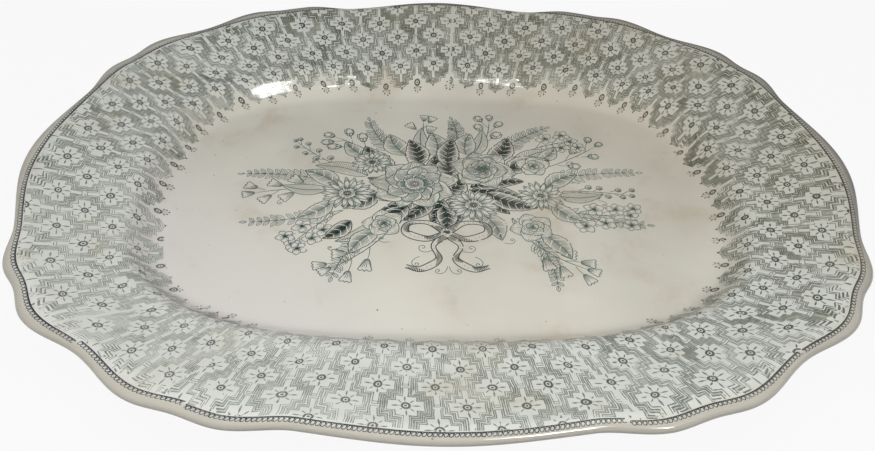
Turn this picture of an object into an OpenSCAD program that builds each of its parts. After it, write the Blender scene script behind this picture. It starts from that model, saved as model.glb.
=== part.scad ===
// Oval serving platter of pressed earthenware: a scalloped, rolled edge, a broad sloping border,
// a steep wall down to a flat floor, and a low foot ring underneath. The print lies under the glaze.
// Origin: the centre of the foot's resting face. X runs along the platter, Z points up.

/* [Rim] */
// Length of the platter from tip to tip
platter_l = 490; // [420:1:600]
// Width of the platter from edge to edge
platter_w = 394; // [330:1:480]
// Thickness of the rolled edge
edge_t = 5; // [3:0.5:7]
// Swing of the scallops, in and out
scallop_h = 4; // [1:0.5:7]
// Drop of the edge between the broad side scallops and their neighbours
dip_h = 2; // [0:0.25:4]
// Squareness of the rim's outline, from 0 for an ellipse to 1 for a rectangle
rim_square_share = 0.12; // [0:0.01:0.3]

/* [Well] */
// Length of the well's floor
floor_l = 340; // [260:1:390]
// Width of the well's floor
floor_w = 226; // [160:1:290]
// Depth of the floor below the edge
well_d = 33.5; // [20:0.5:50]
// Thickness of the floor
floor_t = 7.5; // [5:0.5:12]
// Squareness of the floor's outline, from 0 for an ellipse to 1 for a rectangle
floor_square_share = 0.375; // [0.2:0.005:0.5]

/* [Foot] */
// Height of the foot ring
foot_h = 3.5; // [1.5:0.5:10]
// Width of the foot ring's roll
foot_t = 6; // [3:0.5:12]
// Distance from the floor's edge in to the foot ring
foot_inset = 4; // [1:0.5:12]

/* [Glaze] */
// Thickness of the glaze
coat_t = 0.3; // [0.15:0.05:0.6]
// Height of the bare clay left at the bottom of the foot ring
bare_h = 0.6; // [0.2:0.1:1]

/* [Print] */
// Thickness of the printed film
ink_t = 0.05; // [0.02:0.01:0.1]
// Width of the beaded band at the edge
band_w = 3.4; // [2:0.1:6]
// Distance from the top of the rolled edge in to the beaded band
band_gap = 0.6; // [0.2:0.1:2]
// Distance from the floor's edge in to the centre print
centre_inset = 28; // [10:1:60]

/* [Hidden] */

// Points round the outline, a multiple of four
turn_steps = 96;
// Steps round the half turn of the rolled edge
roll_steps = 4;

// Heights from the table: the underside of the floor and the top of the edge
base_d = well_d + floor_t;
height = base_d + foot_h;
roll_r = edge_t / 2;

// Scallops over a quarter turn from the tip to the side:
// place as a share of the quarter, swing as a share of scallop_h, drop as a share of dip_h
scallop_shares = [
    [0, 0.85, 0],
    [0.172, -0.85, 0],
    [0.26, 0.75, 0],
    [0.3, 0.35, 0],
    [0.36, 1.2, 0],
    [0.46, -0.55, 0],
    [0.572, 1.05, 0],
    [0.633, 0.4, 0.3],
    [0.683, 0.55, 0.5],
    [0.79, -1.35, 1],
    [1, -0.35, 0]
];
last_scallop = len(scallop_shares) - 1;
rim_half_l = platter_l / 2 - scallop_shares[0][1] * scallop_h;
rim_half_w = platter_w / 2 - scallop_shares[last_scallop][1] * scallop_h;
// The deepest notch, and how much of a scallop the beaded band still follows
notch_share = 1.35;
band_follow_share = 0.5;

// Face from the floor out to the band: place as a share of the way from the band to the
// floor's outline, and depth as a share of well_d
face_shares = [
    [1.1, 1],
    [1.03, 0.985],
    [0.98, 0.925],
    [0.93, 0.835],
    [0.89, 0.72],
    [0.82, 0.59],
    [0.75, 0.515],
    [0.56, 0.44],
    [0.38, 0.31],
    [0.1, 0.105]
];
// Depth of the band's inner and outer side as shares of well_d
band_in_share = 0.012;
band_out_share = 0.002;
// Back from the rolled edge in to the base: place as a share of the way from the rim's
// outline to the floor's, depth as a share of the way from the rolled edge's underside to the
// base, and how much of a scallop the row follows
back_shares = [
    [0.12, 0.06, 0.4],
    [0.45, 0.32, 0],
    [0.74, 0.54, 0],
    [0.82, 0.67, 0],
    [0.9, 0.86, 0],
    [0.96, 0.965, 0],
    [1, 1, 0]
];
// Places where one border strip ends and the next begins, as shares of the turn
strip_shares = [0.965, 1.24, 1.34, 1.6, 1.65, 1.82, 1.9, 1.965];
// Rows of the face between which the border strips lie
print_first = 2;
band_in = len(face_shares);
band_out = band_in + 1;

function lerp(a, b, t) = a + (b - a) * t;
function turn(i) = 360 * i / turn_steps;
function ease(t) = (1 - cos(180 * t)) / 2;
function oval_r(a, half_l, half_w, square_share) =
    let (n = 2 / (1 - square_share))
    pow(pow(abs(cos(a)) / half_l, n) + pow(abs(sin(a)) / half_w, n), -1 / n);
function rim_r(a) = oval_r(a, rim_half_l, rim_half_w, rim_square_share);
function floor_r(a) = oval_r(a, floor_l / 2, floor_w / 2, floor_square_share);

// Share of the quarter turn, counted from the nearer tip
function quarter(a) = let (half = a % 180) (half > 90 ? 180 - half : half) / 90;
function scallop_share(q, column, i = 0) =
    i >= last_scallop - 1 || q <= scallop_shares[i + 1][0]
        ? let (from = scallop_shares[i], to = scallop_shares[i + 1])
          lerp(from[column], to[column], ease((q - from[0]) / (to[0] - from[0])))
        : scallop_share(q, column, i + 1);
function swing(a) = scallop_h * scallop_share(quarter(a), 1);
function dip(a) = dip_h * scallop_share(quarter(a), 2);

// A row runs round the platter: [share of the way from the rim's outline to the floor's,
// further distance in, height from the edge, how much of the scallops it follows]
band_start = roll_r + band_gap + band_follow_share * notch_share * scallop_h;
band_end = band_start + band_w;
face_rows = [for (s = face_shares) [s[0], (1 - s[0]) * band_end, -s[1] * well_d, 0]];
band_rows = [
    [0, band_end, -band_in_share * well_d, band_follow_share],
    [0, band_start, -band_out_share * well_d, band_follow_share]
];
roll_rows = [
    for (i = [0 : roll_steps])
        let (b = 90 - 180 * i / roll_steps)
        [0, roll_r * (1 - cos(b)), roll_r * (sin(b) - 1), 1]
];
back_rows = [for (s = back_shares) [s[0], 0, -lerp(edge_t, base_d, s[1]), s[2]]];
skin = concat(face_rows, band_rows, roll_rows, back_rows);
last_row = len(skin) - 1;

// Directions square to the skin, in distance in from the edge and height
border_w = (platter_w - floor_w) / 2;
function in_place(row) = [row[0] * border_w + row[1], row[2]];
function square_to(from, to) = let (d = in_place(to) - in_place(from)) [d[1], -d[0]] / norm(d);
function row_normal(i) =
    let (
        before = i == 0 ? [0, 1] : square_to(skin[i - 1], skin[i]),
        after = i == last_row ? [0, -1] : square_to(skin[i], skin[i + 1])
    )
    (before + after) / (1 + before * after);
// The row i of the skin, sunk into the clay by t
function sunk(i, t) = skin[i] - t * [0, row_normal(i)[0], row_normal(i)[1], 0];
clay = [for (i = [0 : last_row]) sunk(i, coat_t)];
ink_top = [for (i = [0 : last_row]) sunk(i, coat_t - ink_t)];
function slice(rows, first, last) =
    first <= last ? [for (i = [first : last]) rows[i]] : [for (i = [first : -1 : last]) rows[i]];

// The centre print's edge on the clay, and the same at the top of the film
centre_clay = [1, centre_inset, -well_d - coat_t, 0];
centre_ink = centre_clay + [0, 0, ink_t, 0];
// The foot ring's outer side
function foot_row(out, z) = [1, foot_inset - out, z - height, 0];

function place(row, a) =
    let (r = lerp(rim_r(a), floor_r(a), row[0]) - row[1] + row[3] * swing(a))
    [r * cos(a), r * sin(a), height + row[2] - row[3] * dip(a)];

// Two triangles between two rows, cut along the same diagonal whichever way the rows run
function runs_out(from, to) = in_place(from)[0] > in_place(to)[0];
function patch(a, b, c, d, outward) = outward ? [[a, c, b], [a, d, c]] : [[a, d, b], [b, d, c]];

// A closed solid through rows that run all round, with flat ends on the first and last row
module turned_solid(rows) {
    points = [for (row = rows) for (i = [0 : turn_steps - 1]) place(row, turn(i))];
    sides = [
        for (k = [0 : len(rows) - 2]) for (i = [0 : turn_steps - 1])
            let (j = (i + 1) % turn_steps, n = turn_steps, out = runs_out(rows[k], rows[k + 1]))
            each patch(k * n + i, (k + 1) * n + i, (k + 1) * n + j, k * n + j, out)
    ];
    top = [for (i = [turn_steps - 1 : -1 : 0]) i];
    bottom = [for (i = [0 : turn_steps - 1]) (len(rows) - 1) * turn_steps + i];
    polyhedron(points, concat([top], sides, [bottom]));
}

// A closed solid round a loop of rows, from one step of the turn to another. The first half
// of the rows is the outer side and the second half runs back under it.
module strip_solid(rows, first, last) {
    n = len(rows);
    whole = last - first == turn_steps;
    spans = last - first;
    points = [for (i = [first : last]) for (row = rows) place(row, turn(i % turn_steps))];
    sides = [
        for (i = [0 : spans - 1]) for (k = [0 : n - 1])
            let (j = whole ? (i + 1) % spans : i + 1, m = (k + 1) % n, out = runs_out(rows[k], rows[m]))
            each patch(i * n + k, i * n + m, j * n + m, j * n + k, out)
    ];
    last_ring = spans * n;
    ends = [
        for (k = [0 : n / 2 - 2])
            let (q = [k, k + 1, n - 2 - k, n - 1 - k])
            each [q, [for (p = [3 : -1 : 0]) last_ring + q[p]]]
    ];
    polyhedron(points, whole ? sides : concat(sides, ends));
}

// A flat slab in the floor's outline, set in all round
module floor_slab(inset, z, t) {
    translate([0, 0, z])
        linear_extrude(height = t)
            polygon([
                for (i = [0 : turn_steps - 1])
                    let (r = floor_r(turn(i)) - inset)
                    [r * cos(turn(i)), r * sin(turn(i))]
            ]);
}

// Pressed earthenware: floor, wall, border and rolled, scalloped edge in one thickness of clay
module body() {
    color("antiquewhite") turned_solid(clay);
}

// Roll of clay stuck round the back, with the flat face that the platter rests on
module foot_ring() {
    color("wheat") difference() {
        floor_slab(foot_inset, 0, foot_h + coat_t);
        floor_slab(foot_inset + foot_t, -foot_h, 3 * foot_h + coat_t);
    }
}

// Clear glaze over the face, the rolled edge and the back, down to the foot ring's bare edge
module glaze() {
    outer = concat(skin, [foot_row(coat_t, foot_h), foot_row(coat_t, bare_h)]);
    inner = concat(
        [foot_row(0, bare_h), foot_row(0, foot_h + coat_t)],
        slice(clay, last_row, band_out),
        slice(ink_top, band_out, print_first),
        slice(clay, print_first, 0),
        [centre_clay, centre_ink]
    );
    color("ivory", 0.35) turned_solid(concat(outer, inner));
}

// Clear glaze inside the foot ring
module base_glaze() {
    in = foot_inset + foot_t;
    color("ivory", 0.35) difference() {
        floor_slab(in, bare_h, foot_h + coat_t - bare_h);
        floor_slab(in + coat_t, 0, foot_h);
    }
}

// Film of the bouquet printed on the floor
module centre_print() {
    color("cadetblue") floor_slab(centre_inset, height + centre_clay[2], ink_t);
}

// Film of the beaded band that follows the edge
module edge_print() {
    rows = concat(slice(ink_top, band_in, band_out), slice(clay, band_out, band_in));
    color("darkslategray") strip_solid(rows, 0, turn_steps);
}

// Film of one strip of the border
module border_print(i) {
    rows = concat(slice(ink_top, print_first, band_in), slice(clay, band_in, print_first));
    ends = [for (s = strip_shares) round(s * turn_steps)];
    color(i % 2 == 0 ? "darkseagreen" : "lightslategray")
        strip_solid(rows, ends[i], ends[i + 1]);
}

body();
foot_ring();
glaze();
base_glaze();
centre_print();
edge_print();
border_print(0);  // border_print_1
border_print(1);  // border_print_2
border_print(2);  // border_print_3
border_print(3);  // border_print_4
border_print(4);  // border_print_5
border_print(5);  // border_print_6
border_print(6);  // border_print_7
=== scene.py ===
import math
import random

import bpy
import numpy as np
from bpy.props import FloatProperty, FloatVectorProperty, IntProperty, PointerProperty
from mathutils import Matrix, Vector


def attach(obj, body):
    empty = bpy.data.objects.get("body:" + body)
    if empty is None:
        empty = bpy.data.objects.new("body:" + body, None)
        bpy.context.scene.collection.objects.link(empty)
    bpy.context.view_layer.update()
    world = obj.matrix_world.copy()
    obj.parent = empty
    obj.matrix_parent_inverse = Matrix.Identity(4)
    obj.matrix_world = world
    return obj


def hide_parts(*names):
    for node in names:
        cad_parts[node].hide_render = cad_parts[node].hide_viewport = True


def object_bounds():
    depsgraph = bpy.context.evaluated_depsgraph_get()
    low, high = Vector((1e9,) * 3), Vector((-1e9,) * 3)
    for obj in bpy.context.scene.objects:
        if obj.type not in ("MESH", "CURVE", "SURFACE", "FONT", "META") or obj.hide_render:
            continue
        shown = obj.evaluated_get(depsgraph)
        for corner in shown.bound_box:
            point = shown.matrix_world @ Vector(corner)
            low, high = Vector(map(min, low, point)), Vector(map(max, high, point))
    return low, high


bl_info = {
    "name": "Oval platter",
    "version": (1, 0, 0),
    "blender": (4, 5, 0),
    "location": "3D View > Sidebar > Platter",
    "description": "Glazed ware, foot, printed border, beaded edge and bouquet of an oval platter",
    "category": "Object",
}

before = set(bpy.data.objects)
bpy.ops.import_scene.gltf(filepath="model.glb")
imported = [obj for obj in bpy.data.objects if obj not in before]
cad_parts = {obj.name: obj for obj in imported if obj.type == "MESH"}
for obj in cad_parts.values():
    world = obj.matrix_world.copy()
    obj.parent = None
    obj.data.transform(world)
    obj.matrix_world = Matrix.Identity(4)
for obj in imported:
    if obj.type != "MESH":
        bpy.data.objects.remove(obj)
CAD_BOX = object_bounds()
LOW, HIGH = CAD_BOX
BODY = "root"
MM = 0.001
TAU = 2 * math.pi

# The photo's frame in pixels, and the camera's sensor in millimetres
PHOTO_W = 875
PHOTO_H = 451
SENSOR_W = 36

# Scallops over a quarter turn from the tip to the side: place as a share of the quarter,
# swing as a share of the scallops' swing, drop as a share of their drop
SCALLOP_SHARES = np.array([
    (0, 0.85, 0), (0.172, -0.85, 0), (0.26, 0.75, 0), (0.3, 0.35, 0), (0.36, 1.2, 0), (0.46, -0.55, 0),
    (0.572, 1.05, 0), (0.633, 0.4, 0.3), (0.683, 0.55, 0.5), (0.79, -1.35, 1), (1, -0.35, 0),
])
# Face from the floor out: share of the way from the band to the floor's outline, share of depth
FACE_SHARES = [
    (1.1, 1), (1.03, 0.985), (0.98, 0.935), (0.93, 0.85), (0.88, 0.74), (0.83, 0.615), (0.78, 0.54),
    (0.7, 0.49), (0.56, 0.435), (0.38, 0.31), (0.1, 0.105),
]
# Depth of the inner and outer edge of the brim under the band, as shares of the well's depth
BAND_DEPTH_SHARES = (0.012, 0.002)
# Back from the rolled edge in: share of the border, share of the depth, how far it follows a scallop
BACK_SHARES = [
    (0.12, 0.06, 0.4), (0.45, 0.32, 0), (0.74, 0.54, 0), (0.82, 0.67, 0), (0.9, 0.86, 0),
    (0.96, 0.965, 0), (1, 1, 0),
]
# The deepest notch between scallops, as a share of their swing, and how far the brim follows it
NOTCH_SHARE = 1.35
BAND_FOLLOW_SHARE = 0.5
# Places where one border strip ends and the next begins, as shares of the turn
STRIP_SHARES = (0.965, 1.24, 1.34, 1.6, 1.65, 1.82, 1.9, 1.965)

# How the hand-laid tissue strays: place as a share of the way round the edge, drift of the outer
# and of the inner rosettes along it in columns, and how far each slipped down in millimetres
TISSUE_LAY = np.array([
    (0, -0.1, -0.2, 1, 0), (0.05, -0.3, -0.4, -1, -2), (0.09, -0.4, -0.5, -1, -4),
    (0.13, -0.3, -0.1, -4, -6), (0.17, -0.2, 0, 1, 2), (0.19, -0.1, 0, 2, 4), (0.24, -0.1, -0.1, 1, 2),
    (0.31, -0.1, -0.3, 1, 4), (0.345, -0.2, -0.3, 1, 2), (0.37, -0.2, -0.2, -1, -4),
    (0.42, -0.1, 0, -4, -5), (0.455, 0.1, 0.2, -2, -4), (0.5, 0, 0.2, 1, 1), (0.56, -0.2, -0.1, 1, 2),
    (0.61, -0.2, -0.2, -1, 0), (0.645, -0.1, 0.2, -2, 2), (0.69, 0.1, 0.3, 2, 3),
    (0.75, 0.1, 0.2, 3, 4), (0.8, 0.2, 0, -1, 2), (0.87, 0.1, 0, 0, -1), (0.95, 0, -0.2, -1, -4),
])
# How far each strip slipped again where it meets the last: along in columns, and down in millimetres
STRIP_JOGS = np.array([
    (0, 0), (0.03, 0.5), (-0.02, -0.6), (0.03, 0.4), (-0.03, -0.4), (0.02, 0.6), (0, -0.5),
])


def linear(hex_colour):
    """Linear colour, with alpha 1, from an sRGB hex value"""
    channels = [int(hex_colour[i:i + 2], 16) / 255 for i in (1, 3, 5)]
    return [c / 12.92 if c <= 0.04045 else ((c + 0.055) / 1.055) ** 2.4 for c in channels] + [1]


def length(name, text, millimetres):
    """A size that a user can set, kept in metres"""
    return FloatProperty(name=name, description=text, default=millimetres * MM, unit="LENGTH", min=0)


def colour(name, text, hex_colour):
    """A colour that a user can set"""
    return FloatVectorProperty(
        name=name, description=text, default=linear(hex_colour), subtype="COLOR", size=4, min=0, max=1
    )


class PlatterSizes(bpy.types.PropertyGroup):
    """Sizes of the clay and the glaze"""

    floor_l: length("Floor length", "Length of the well's floor", 340)
    floor_w: length("Floor width", "Width of the well's floor", 226)
    well_d: length("Well depth", "Depth of the floor below the edge", 33.5)
    floor_t: length("Floor thickness", "Thickness of the floor", 7.5)
    edge_t: length("Edge", "Thickness of the rolled edge", 5)
    scallop_h: length("Scallop swing", "Swing of the scallops, in and out", 4)
    dip_h: length("Scallop drop", "Drop of the edge between the broad side scallops", 2)
    band_gap: length("Brim gap", "Distance from the top of the rolled edge to the level brim", 0.6)
    band_w: length("Brim", "Width of the level brim that the beaded band lies on", 3.4)
    foot_h: length("Foot height", "Height of the foot ring", 3.5)
    foot_t: length("Foot width", "Width of the foot ring", 6)
    foot_inset: length("Foot inset", "Distance from the floor's edge in to the foot ring", 4)
    bare_h: length("Bare height", "Height of bare clay at the bottom of the foot ring", 0.6)
    warp_h: length("Warp", "How far the fired clay strays from true", 0.3)
    rim_square: FloatProperty(
        name="Rim squareness", description="From 0 for an ellipse to 1 for a rectangle", default=0.12
    )
    floor_square: FloatProperty(
        name="Floor squareness", description="From 0 for an ellipse to 1 for a rectangle", default=0.375
    )


class PrintSizes(bpy.types.PropertyGroup):
    """Sizes of the transfer print"""

    columns: IntProperty(name="Columns", description="Rosettes in a row round the border", default=46)
    pitch: length("Rosette pitch", "Distance between rosettes in the outer row", 28.3)
    row_pitch: length("Row pitch", "Distance between rows of rosettes", 14.2)
    first_row: length("First row", "Distance from the edge in to the outer row of rosettes", 20.4)
    follow: FloatProperty(name="Follow", description="How far the rows follow the scallops", default=0.75)
    channel: length("Channel", "Width of the hatched channel between rosettes", 4.1)
    hatch_lines: IntProperty(name="Hatch lines", description="Lines across the channel", default=5)
    hatch_w: length("Hatch line", "Width of a hatch line", 0.48)
    line_in: length("Band inset", "Distance from the edge in to the band's dark line", 6.1)
    line_w: length("Band line", "Width of the band's dark line", 0.68)
    bead_pitch: length("Bead pitch", "Distance between the beads", 2.3)
    lift: length("Lift", "Height of the printed colour over the glaze", 0.05)


class PlatterColours(bpy.types.PropertyGroup):
    """Colours of the platter"""

    glaze: colour("Glaze", "Clear glaze over cream clay", "#dddbd2")
    cool: colour("Cool glaze", "The glaze over the front left, a little cooler", "#dbdadc")
    # This colour is painted shade: the rolled edge drawn greyer towards the back, where it is turned from the
    # light
    far_edge_shade: colour("Far edge", "The rolled edge at the back right, grey from handling", "#8f8e8d")
    edge: colour("Edge", "Worn, greyer glaze on the rolled edge", "#bdbab2")
    under_edge_shade: colour("Grime", "Grey-brown dirt under the rolled edge", "#6f675c")
    # This colour is painted shade, darkening the underside of the rolled edge where shade falls under it
    stain: colour("Stain", "Brown stain under old glaze", "#b2a180")
    pooled: colour("Pooled glaze", "Greyer glaze where it lies thick", "#d2d0c8")
    haze: colour("Hazed glaze", "Glaze over the border, cooled by colour bled from the print", "#dadedb")
    pinhole: colour("Pinholes", "Dirt in the pinholes of the glaze", "#8d7a62")
    biscuit: colour("Biscuit", "Bare clay of the foot", "#c8b493")
    grit: colour("Grit", "Darker grains in the bare clay", "#b39c7a")
    foot_dirt: colour("Foot dirt", "Dirt worn into the bare foot", "#8e7b60")
    border_ink: colour("Border ink", "Grey-green colour of the border's hatching", "#4f584e")
    border_dark: colour("Border dark", "Darker grey-green of the rosettes' rings and pendants", "#39433c")
    border_veil: colour("Border veil", "Thin colour smeared between the hatching's lines", "#979e95")
    band_ink: colour("Band ink", "Blue-black colour of the beaded band", "#303f44")
    bouquet_ink: colour("Bouquet ink", "Teal colour of the bouquet's fine lines", "#43625f")
    bouquet_dark: colour("Bouquet dark", "Teal colour of the bouquet's shaded leaves", "#18312f")
    floor: colour("Floor", "Plain pale floor", "#969693")


def unit(vectors):
    """The vectors, each made one long"""
    return vectors / np.maximum(np.linalg.norm(vectors, axis=-1, keepdims=True), 1e-12)


def mix(a, b, t):
    """The value a share t of the way from a to b"""
    return a + (b - a) * t


def pairs(x, y):
    """Points from their x and their y"""
    return np.column_stack(np.broadcast_arrays(x, y))


def way_along(points):
    """Distance along a line of points, from its first"""
    return np.concatenate([[0], np.cumsum(np.linalg.norm(np.diff(points, axis=0), axis=1))])


def soften(rows, spread):
    """Rows smoothed by a bell of that many rows, with both ends kept"""
    reach = int(3 * spread)
    bell = np.exp(-0.5 * (np.arange(-reach, reach + 1) / spread) ** 2)
    bell /= bell.sum()
    start = 2 * rows[:1] - rows[reach:0:-1]
    end = 2 * rows[-1:] - rows[-2:-reach - 2:-1]
    padded = np.vstack([start, rows, end])
    return np.column_stack([np.convolve(padded[:, c], bell, mode="valid") for c in range(rows.shape[1])])


def scallop(a, column):
    """A scallop value at the turns a: 1 for the swing, 2 for the drop"""
    quarter = np.degrees(a) % 180
    quarter = np.where(quarter > 90, 180 - quarter, quarter) / 90
    i = np.clip(np.searchsorted(SCALLOP_SHARES[:, 0], quarter) - 1, 0, len(SCALLOP_SHARES) - 2)
    low, high = SCALLOP_SHARES[i], SCALLOP_SHARES[i + 1]
    t = (quarter - low[..., 0]) / (high[..., 0] - low[..., 0])
    return mix(low[..., column], high[..., column], (1 - np.cos(np.pi * t)) / 2)


def oval(a, half_l, half_w, square):
    """Distance from the centre to an outline between an ellipse and a rectangle"""
    n = 2 / (1 - square)
    return ((np.abs(np.cos(a)) / half_l) ** n + (np.abs(np.sin(a)) / half_w) ** n) ** (-1 / n)


class Skin:
    """The platter's outer skin: one smooth profile, from the floor over the edge to the base,
    carried round the scalloped outline. v is the way along the profile, a the turn."""

    # Step along the profile, and how many steps its corners on the face and the back are softened by
    STEP = 0.4 * MM
    FACE_SPREAD = 5.5
    BACK_SPREAD = 7
    ROLL_STEPS = 12
    TURNS = 5760
    # How far under the edge the clay's unevenness comes in
    FADE_H = 4 * MM

    def __init__(self, sizes):
        self.sizes = sizes
        self.height = HIGH[2]
        self.half_l = (HIGH[0] - LOW[0]) / 2 - SCALLOP_SHARES[0, 1] * sizes.scallop_h
        self.half_w = (HIGH[1] - LOW[1]) / 2 - SCALLOP_SHARES[-1, 1] * sizes.scallop_h
        self.border = (HIGH[1] - LOW[1] - sizes.floor_w) / 2
        roll = sizes.edge_t / 2
        band_start = roll + sizes.band_gap + BAND_FOLLOW_SHARE * NOTCH_SHARE * sizes.scallop_h
        band_ends = (band_start + sizes.band_w, band_start)
        face = [(w, (1 - w) * band_ends[0], -s * sizes.well_d, 0) for w, s in FACE_SHARES]
        face += [(0, e, -s * sizes.well_d, BAND_FOLLOW_SHARE) for e, s in zip(band_ends, BAND_DEPTH_SHARES)]
        face.append((0, roll, 0, 1))
        turns = [math.radians(90 - 180 / self.ROLL_STEPS * i) for i in range(self.ROLL_STEPS + 1)]
        edge = [(0, roll * (1 - math.cos(b)), roll * (math.sin(b) - 1), 1) for b in turns]
        base_d = sizes.well_d + sizes.floor_t
        back = [edge[-1]] + [(w, 0, -mix(sizes.edge_t, base_d, s), k) for w, s, k in BACK_SHARES]
        face = soften(self.even(face), self.FACE_SPREAD)
        back = soften(self.even(back), self.BACK_SPREAD)
        self.rows = np.vstack([face, edge[1:], back[1:]])
        self.v = way_along(self.flat(self.rows))
        self.v_edge = self.v[len(face) - 1]
        self.v_back = self.v[len(face) + len(edge) - 2]
        self.base_z = self.height - base_d
        self.floor_z = self.height - sizes.well_d

    def flat(self, rows):
        """Distance in from the outline and height, at the side"""
        rows = np.asarray(rows, float)
        return pairs(rows[:, 0] * self.border + rows[:, 1], rows[:, 2])

    def even(self, rows):
        """The rows again at an even step along the profile"""
        rows = np.asarray(rows, float)
        way = way_along(self.flat(rows))
        steps = np.linspace(0, way[-1], int(way[-1] / self.STEP) + 1)
        return np.column_stack([np.interp(steps, way, rows[:, c]) for c in range(4)])

    def at(self, v, *columns):
        """The profile at v. Its columns are the share of the border, a distance in, the height and how
        far it follows a scallop"""
        return [np.interp(v, self.v, self.rows[:, c]) for c in columns]

    def rim(self, a):
        """Distance from the centre to the edge, scallops left out"""
        return oval(a, self.half_l, self.half_w, self.sizes.rim_square)

    def floor(self, a):
        """Distance from the centre to the floor's outline"""
        return oval(a, self.sizes.floor_l / 2, self.sizes.floor_w / 2, self.sizes.floor_square)

    def swing(self, a):
        """How far the scallops stand out"""
        return self.sizes.scallop_h * scallop(a, 1)

    def warp(self, x, y):
        """The slow unevenness of hand-pressed clay"""
        waves = (
            np.sin(x / (61 * MM) + 1.1) * np.cos(y / (47 * MM) + 0.4)
            + 0.6 * np.sin((x + y) / (29 * MM) + 2.0)
            + 0.4 * np.cos((x - 1.6 * y) / (38 * MM))
        )
        return 0.5 * self.sizes.warp_h * waves

    def point(self, v, a):
        """Points of the skin"""
        w, e, z, k = self.at(v, 0, 1, 2, 3)
        r = mix(self.rim(a), self.floor(a), w) - e + k * self.swing(a)
        x, y = r * np.cos(a), r * np.sin(a)
        z = self.height + z - k * self.sizes.dip_h * scallop(a, 2)
        fade = np.clip(self.height - z, 0, self.FADE_H) / self.FADE_H
        return np.stack([x, y, z + fade * self.warp(x, y)], axis=-1)

    def normal(self, v, a):
        """Directions straight out of the skin"""
        dv, da = 0.3 * MM, 0.002
        along = self.point(v + dv, a) - self.point(v - dv, a)
        round_it = self.point(v, a + da) - self.point(v, a - da)
        return unit(np.cross(along, round_it))

    def width_at(self, a):
        """Width of the border square to the edge"""
        step = 0.001
        r = self.rim(a)
        slant = np.arctan2((self.rim(a + step) - self.rim(a - step)) / (2 * step), r)
        return (r - self.floor(a)) * np.cos(slant)

    def inward(self, s):
        """v at a distance s in from the outline, along the face"""
        return self.v_edge + self.sizes.edge_t / 2 - s

    def way_round(self, v):
        """Turns and shares of the way round along the row at v, scallops left out"""
        a = np.linspace(0, TAU, self.TURNS + 1)
        w, e = self.at(v, 0, 1)
        r = mix(self.rim(a), self.floor(a), w) - e
        way = way_along(pairs(r * np.cos(a), r * np.sin(a)))
        return a, way / way[-1]


def node(tree, kind, feeds=(), output="", **settings):
    """Adds a node with its settings. feeds is what its live inputs take, by name or in order, and the
    named output, or the first live one, is handed on."""
    made = tree.nodes.new(kind)
    for key, value in settings.items():
        setattr(made, key, value)
    live = [socket for socket in made.inputs if socket.enabled]
    names = [socket.name for socket in live]
    for key, value in feeds.items() if isinstance(feeds, dict) else enumerate(feeds):
        socket = live[names.index(key) if key in names else key]
        if isinstance(value, bpy.types.NodeSocket):
            tree.links.new(value, socket)
        else:
            socket.default_value = value
    if output:
        return made.outputs[output]
    return next((socket for socket in made.outputs if socket.enabled), None)


def new_material(name):
    """An empty node material and its tree"""
    material = bpy.data.materials.new(name)
    material.use_nodes = True
    material.node_tree.nodes.clear()
    return material, material.node_tree


def layered(tree, base, *coats):
    """Colours laid over a base one after another, each as thick as its share says"""
    for share, tint in coats:
        base = node(tree, "ShaderNodeMix", {"Factor": share, "A": base, "B": tint}, data_type="RGBA")
    return base


def blotches(tree, place, apart, low, high, detail=3, rough=0.55, warp=0):
    """Soft blotches that far apart: 0 where a noise is at low, 1 where it is at high"""
    cloud = node(tree, "ShaderNodeTexNoise", {
        "Vector": place, "Scale": 1 / apart, "Detail": detail, "Roughness": rough, "Distortion": warp,
    })
    return node(tree, "ShaderNodeMapRange", {"Value": cloud, "From Min": low, "From Max": high},
                interpolation_type="SMOOTHSTEP")


# Two ways across the platter: from the front left to the back right, and more nearly to the back
TO_BACK_RIGHT = (0.7, 0.714, 0)
TO_BACK = (0.45, 0.893, 0)


def across_ware(tree, place, way, low, high, value_low, value_high):
    """A value that changes evenly on the way across the platter"""
    slant = node(tree, "ShaderNodeVectorMath", [place, way], operation="DOT_PRODUCT")
    return node(tree, "ShaderNodeMapRange", {
        "Value": slant, "From Min": low, "From Max": high, "To Min": value_low, "To Max": value_high,
    })


def stain_share(tree, place, patches, start, back_right):
    """How far brown stain has crept in under old glaze: in patches, and from a start all over the back
    right. Its patches are handed on too."""
    drift = across_ware(tree, place, TO_BACK_RIGHT, start, 145 * MM, 0, back_right)
    spread = blotches(tree, place, 46 * MM, 0.53, 0.78, 4, 0.6, 0.4)
    return node(tree, "ShaderNodeMath", [spread, patches, drift], operation="MULTIPLY_ADD"), spread


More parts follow.
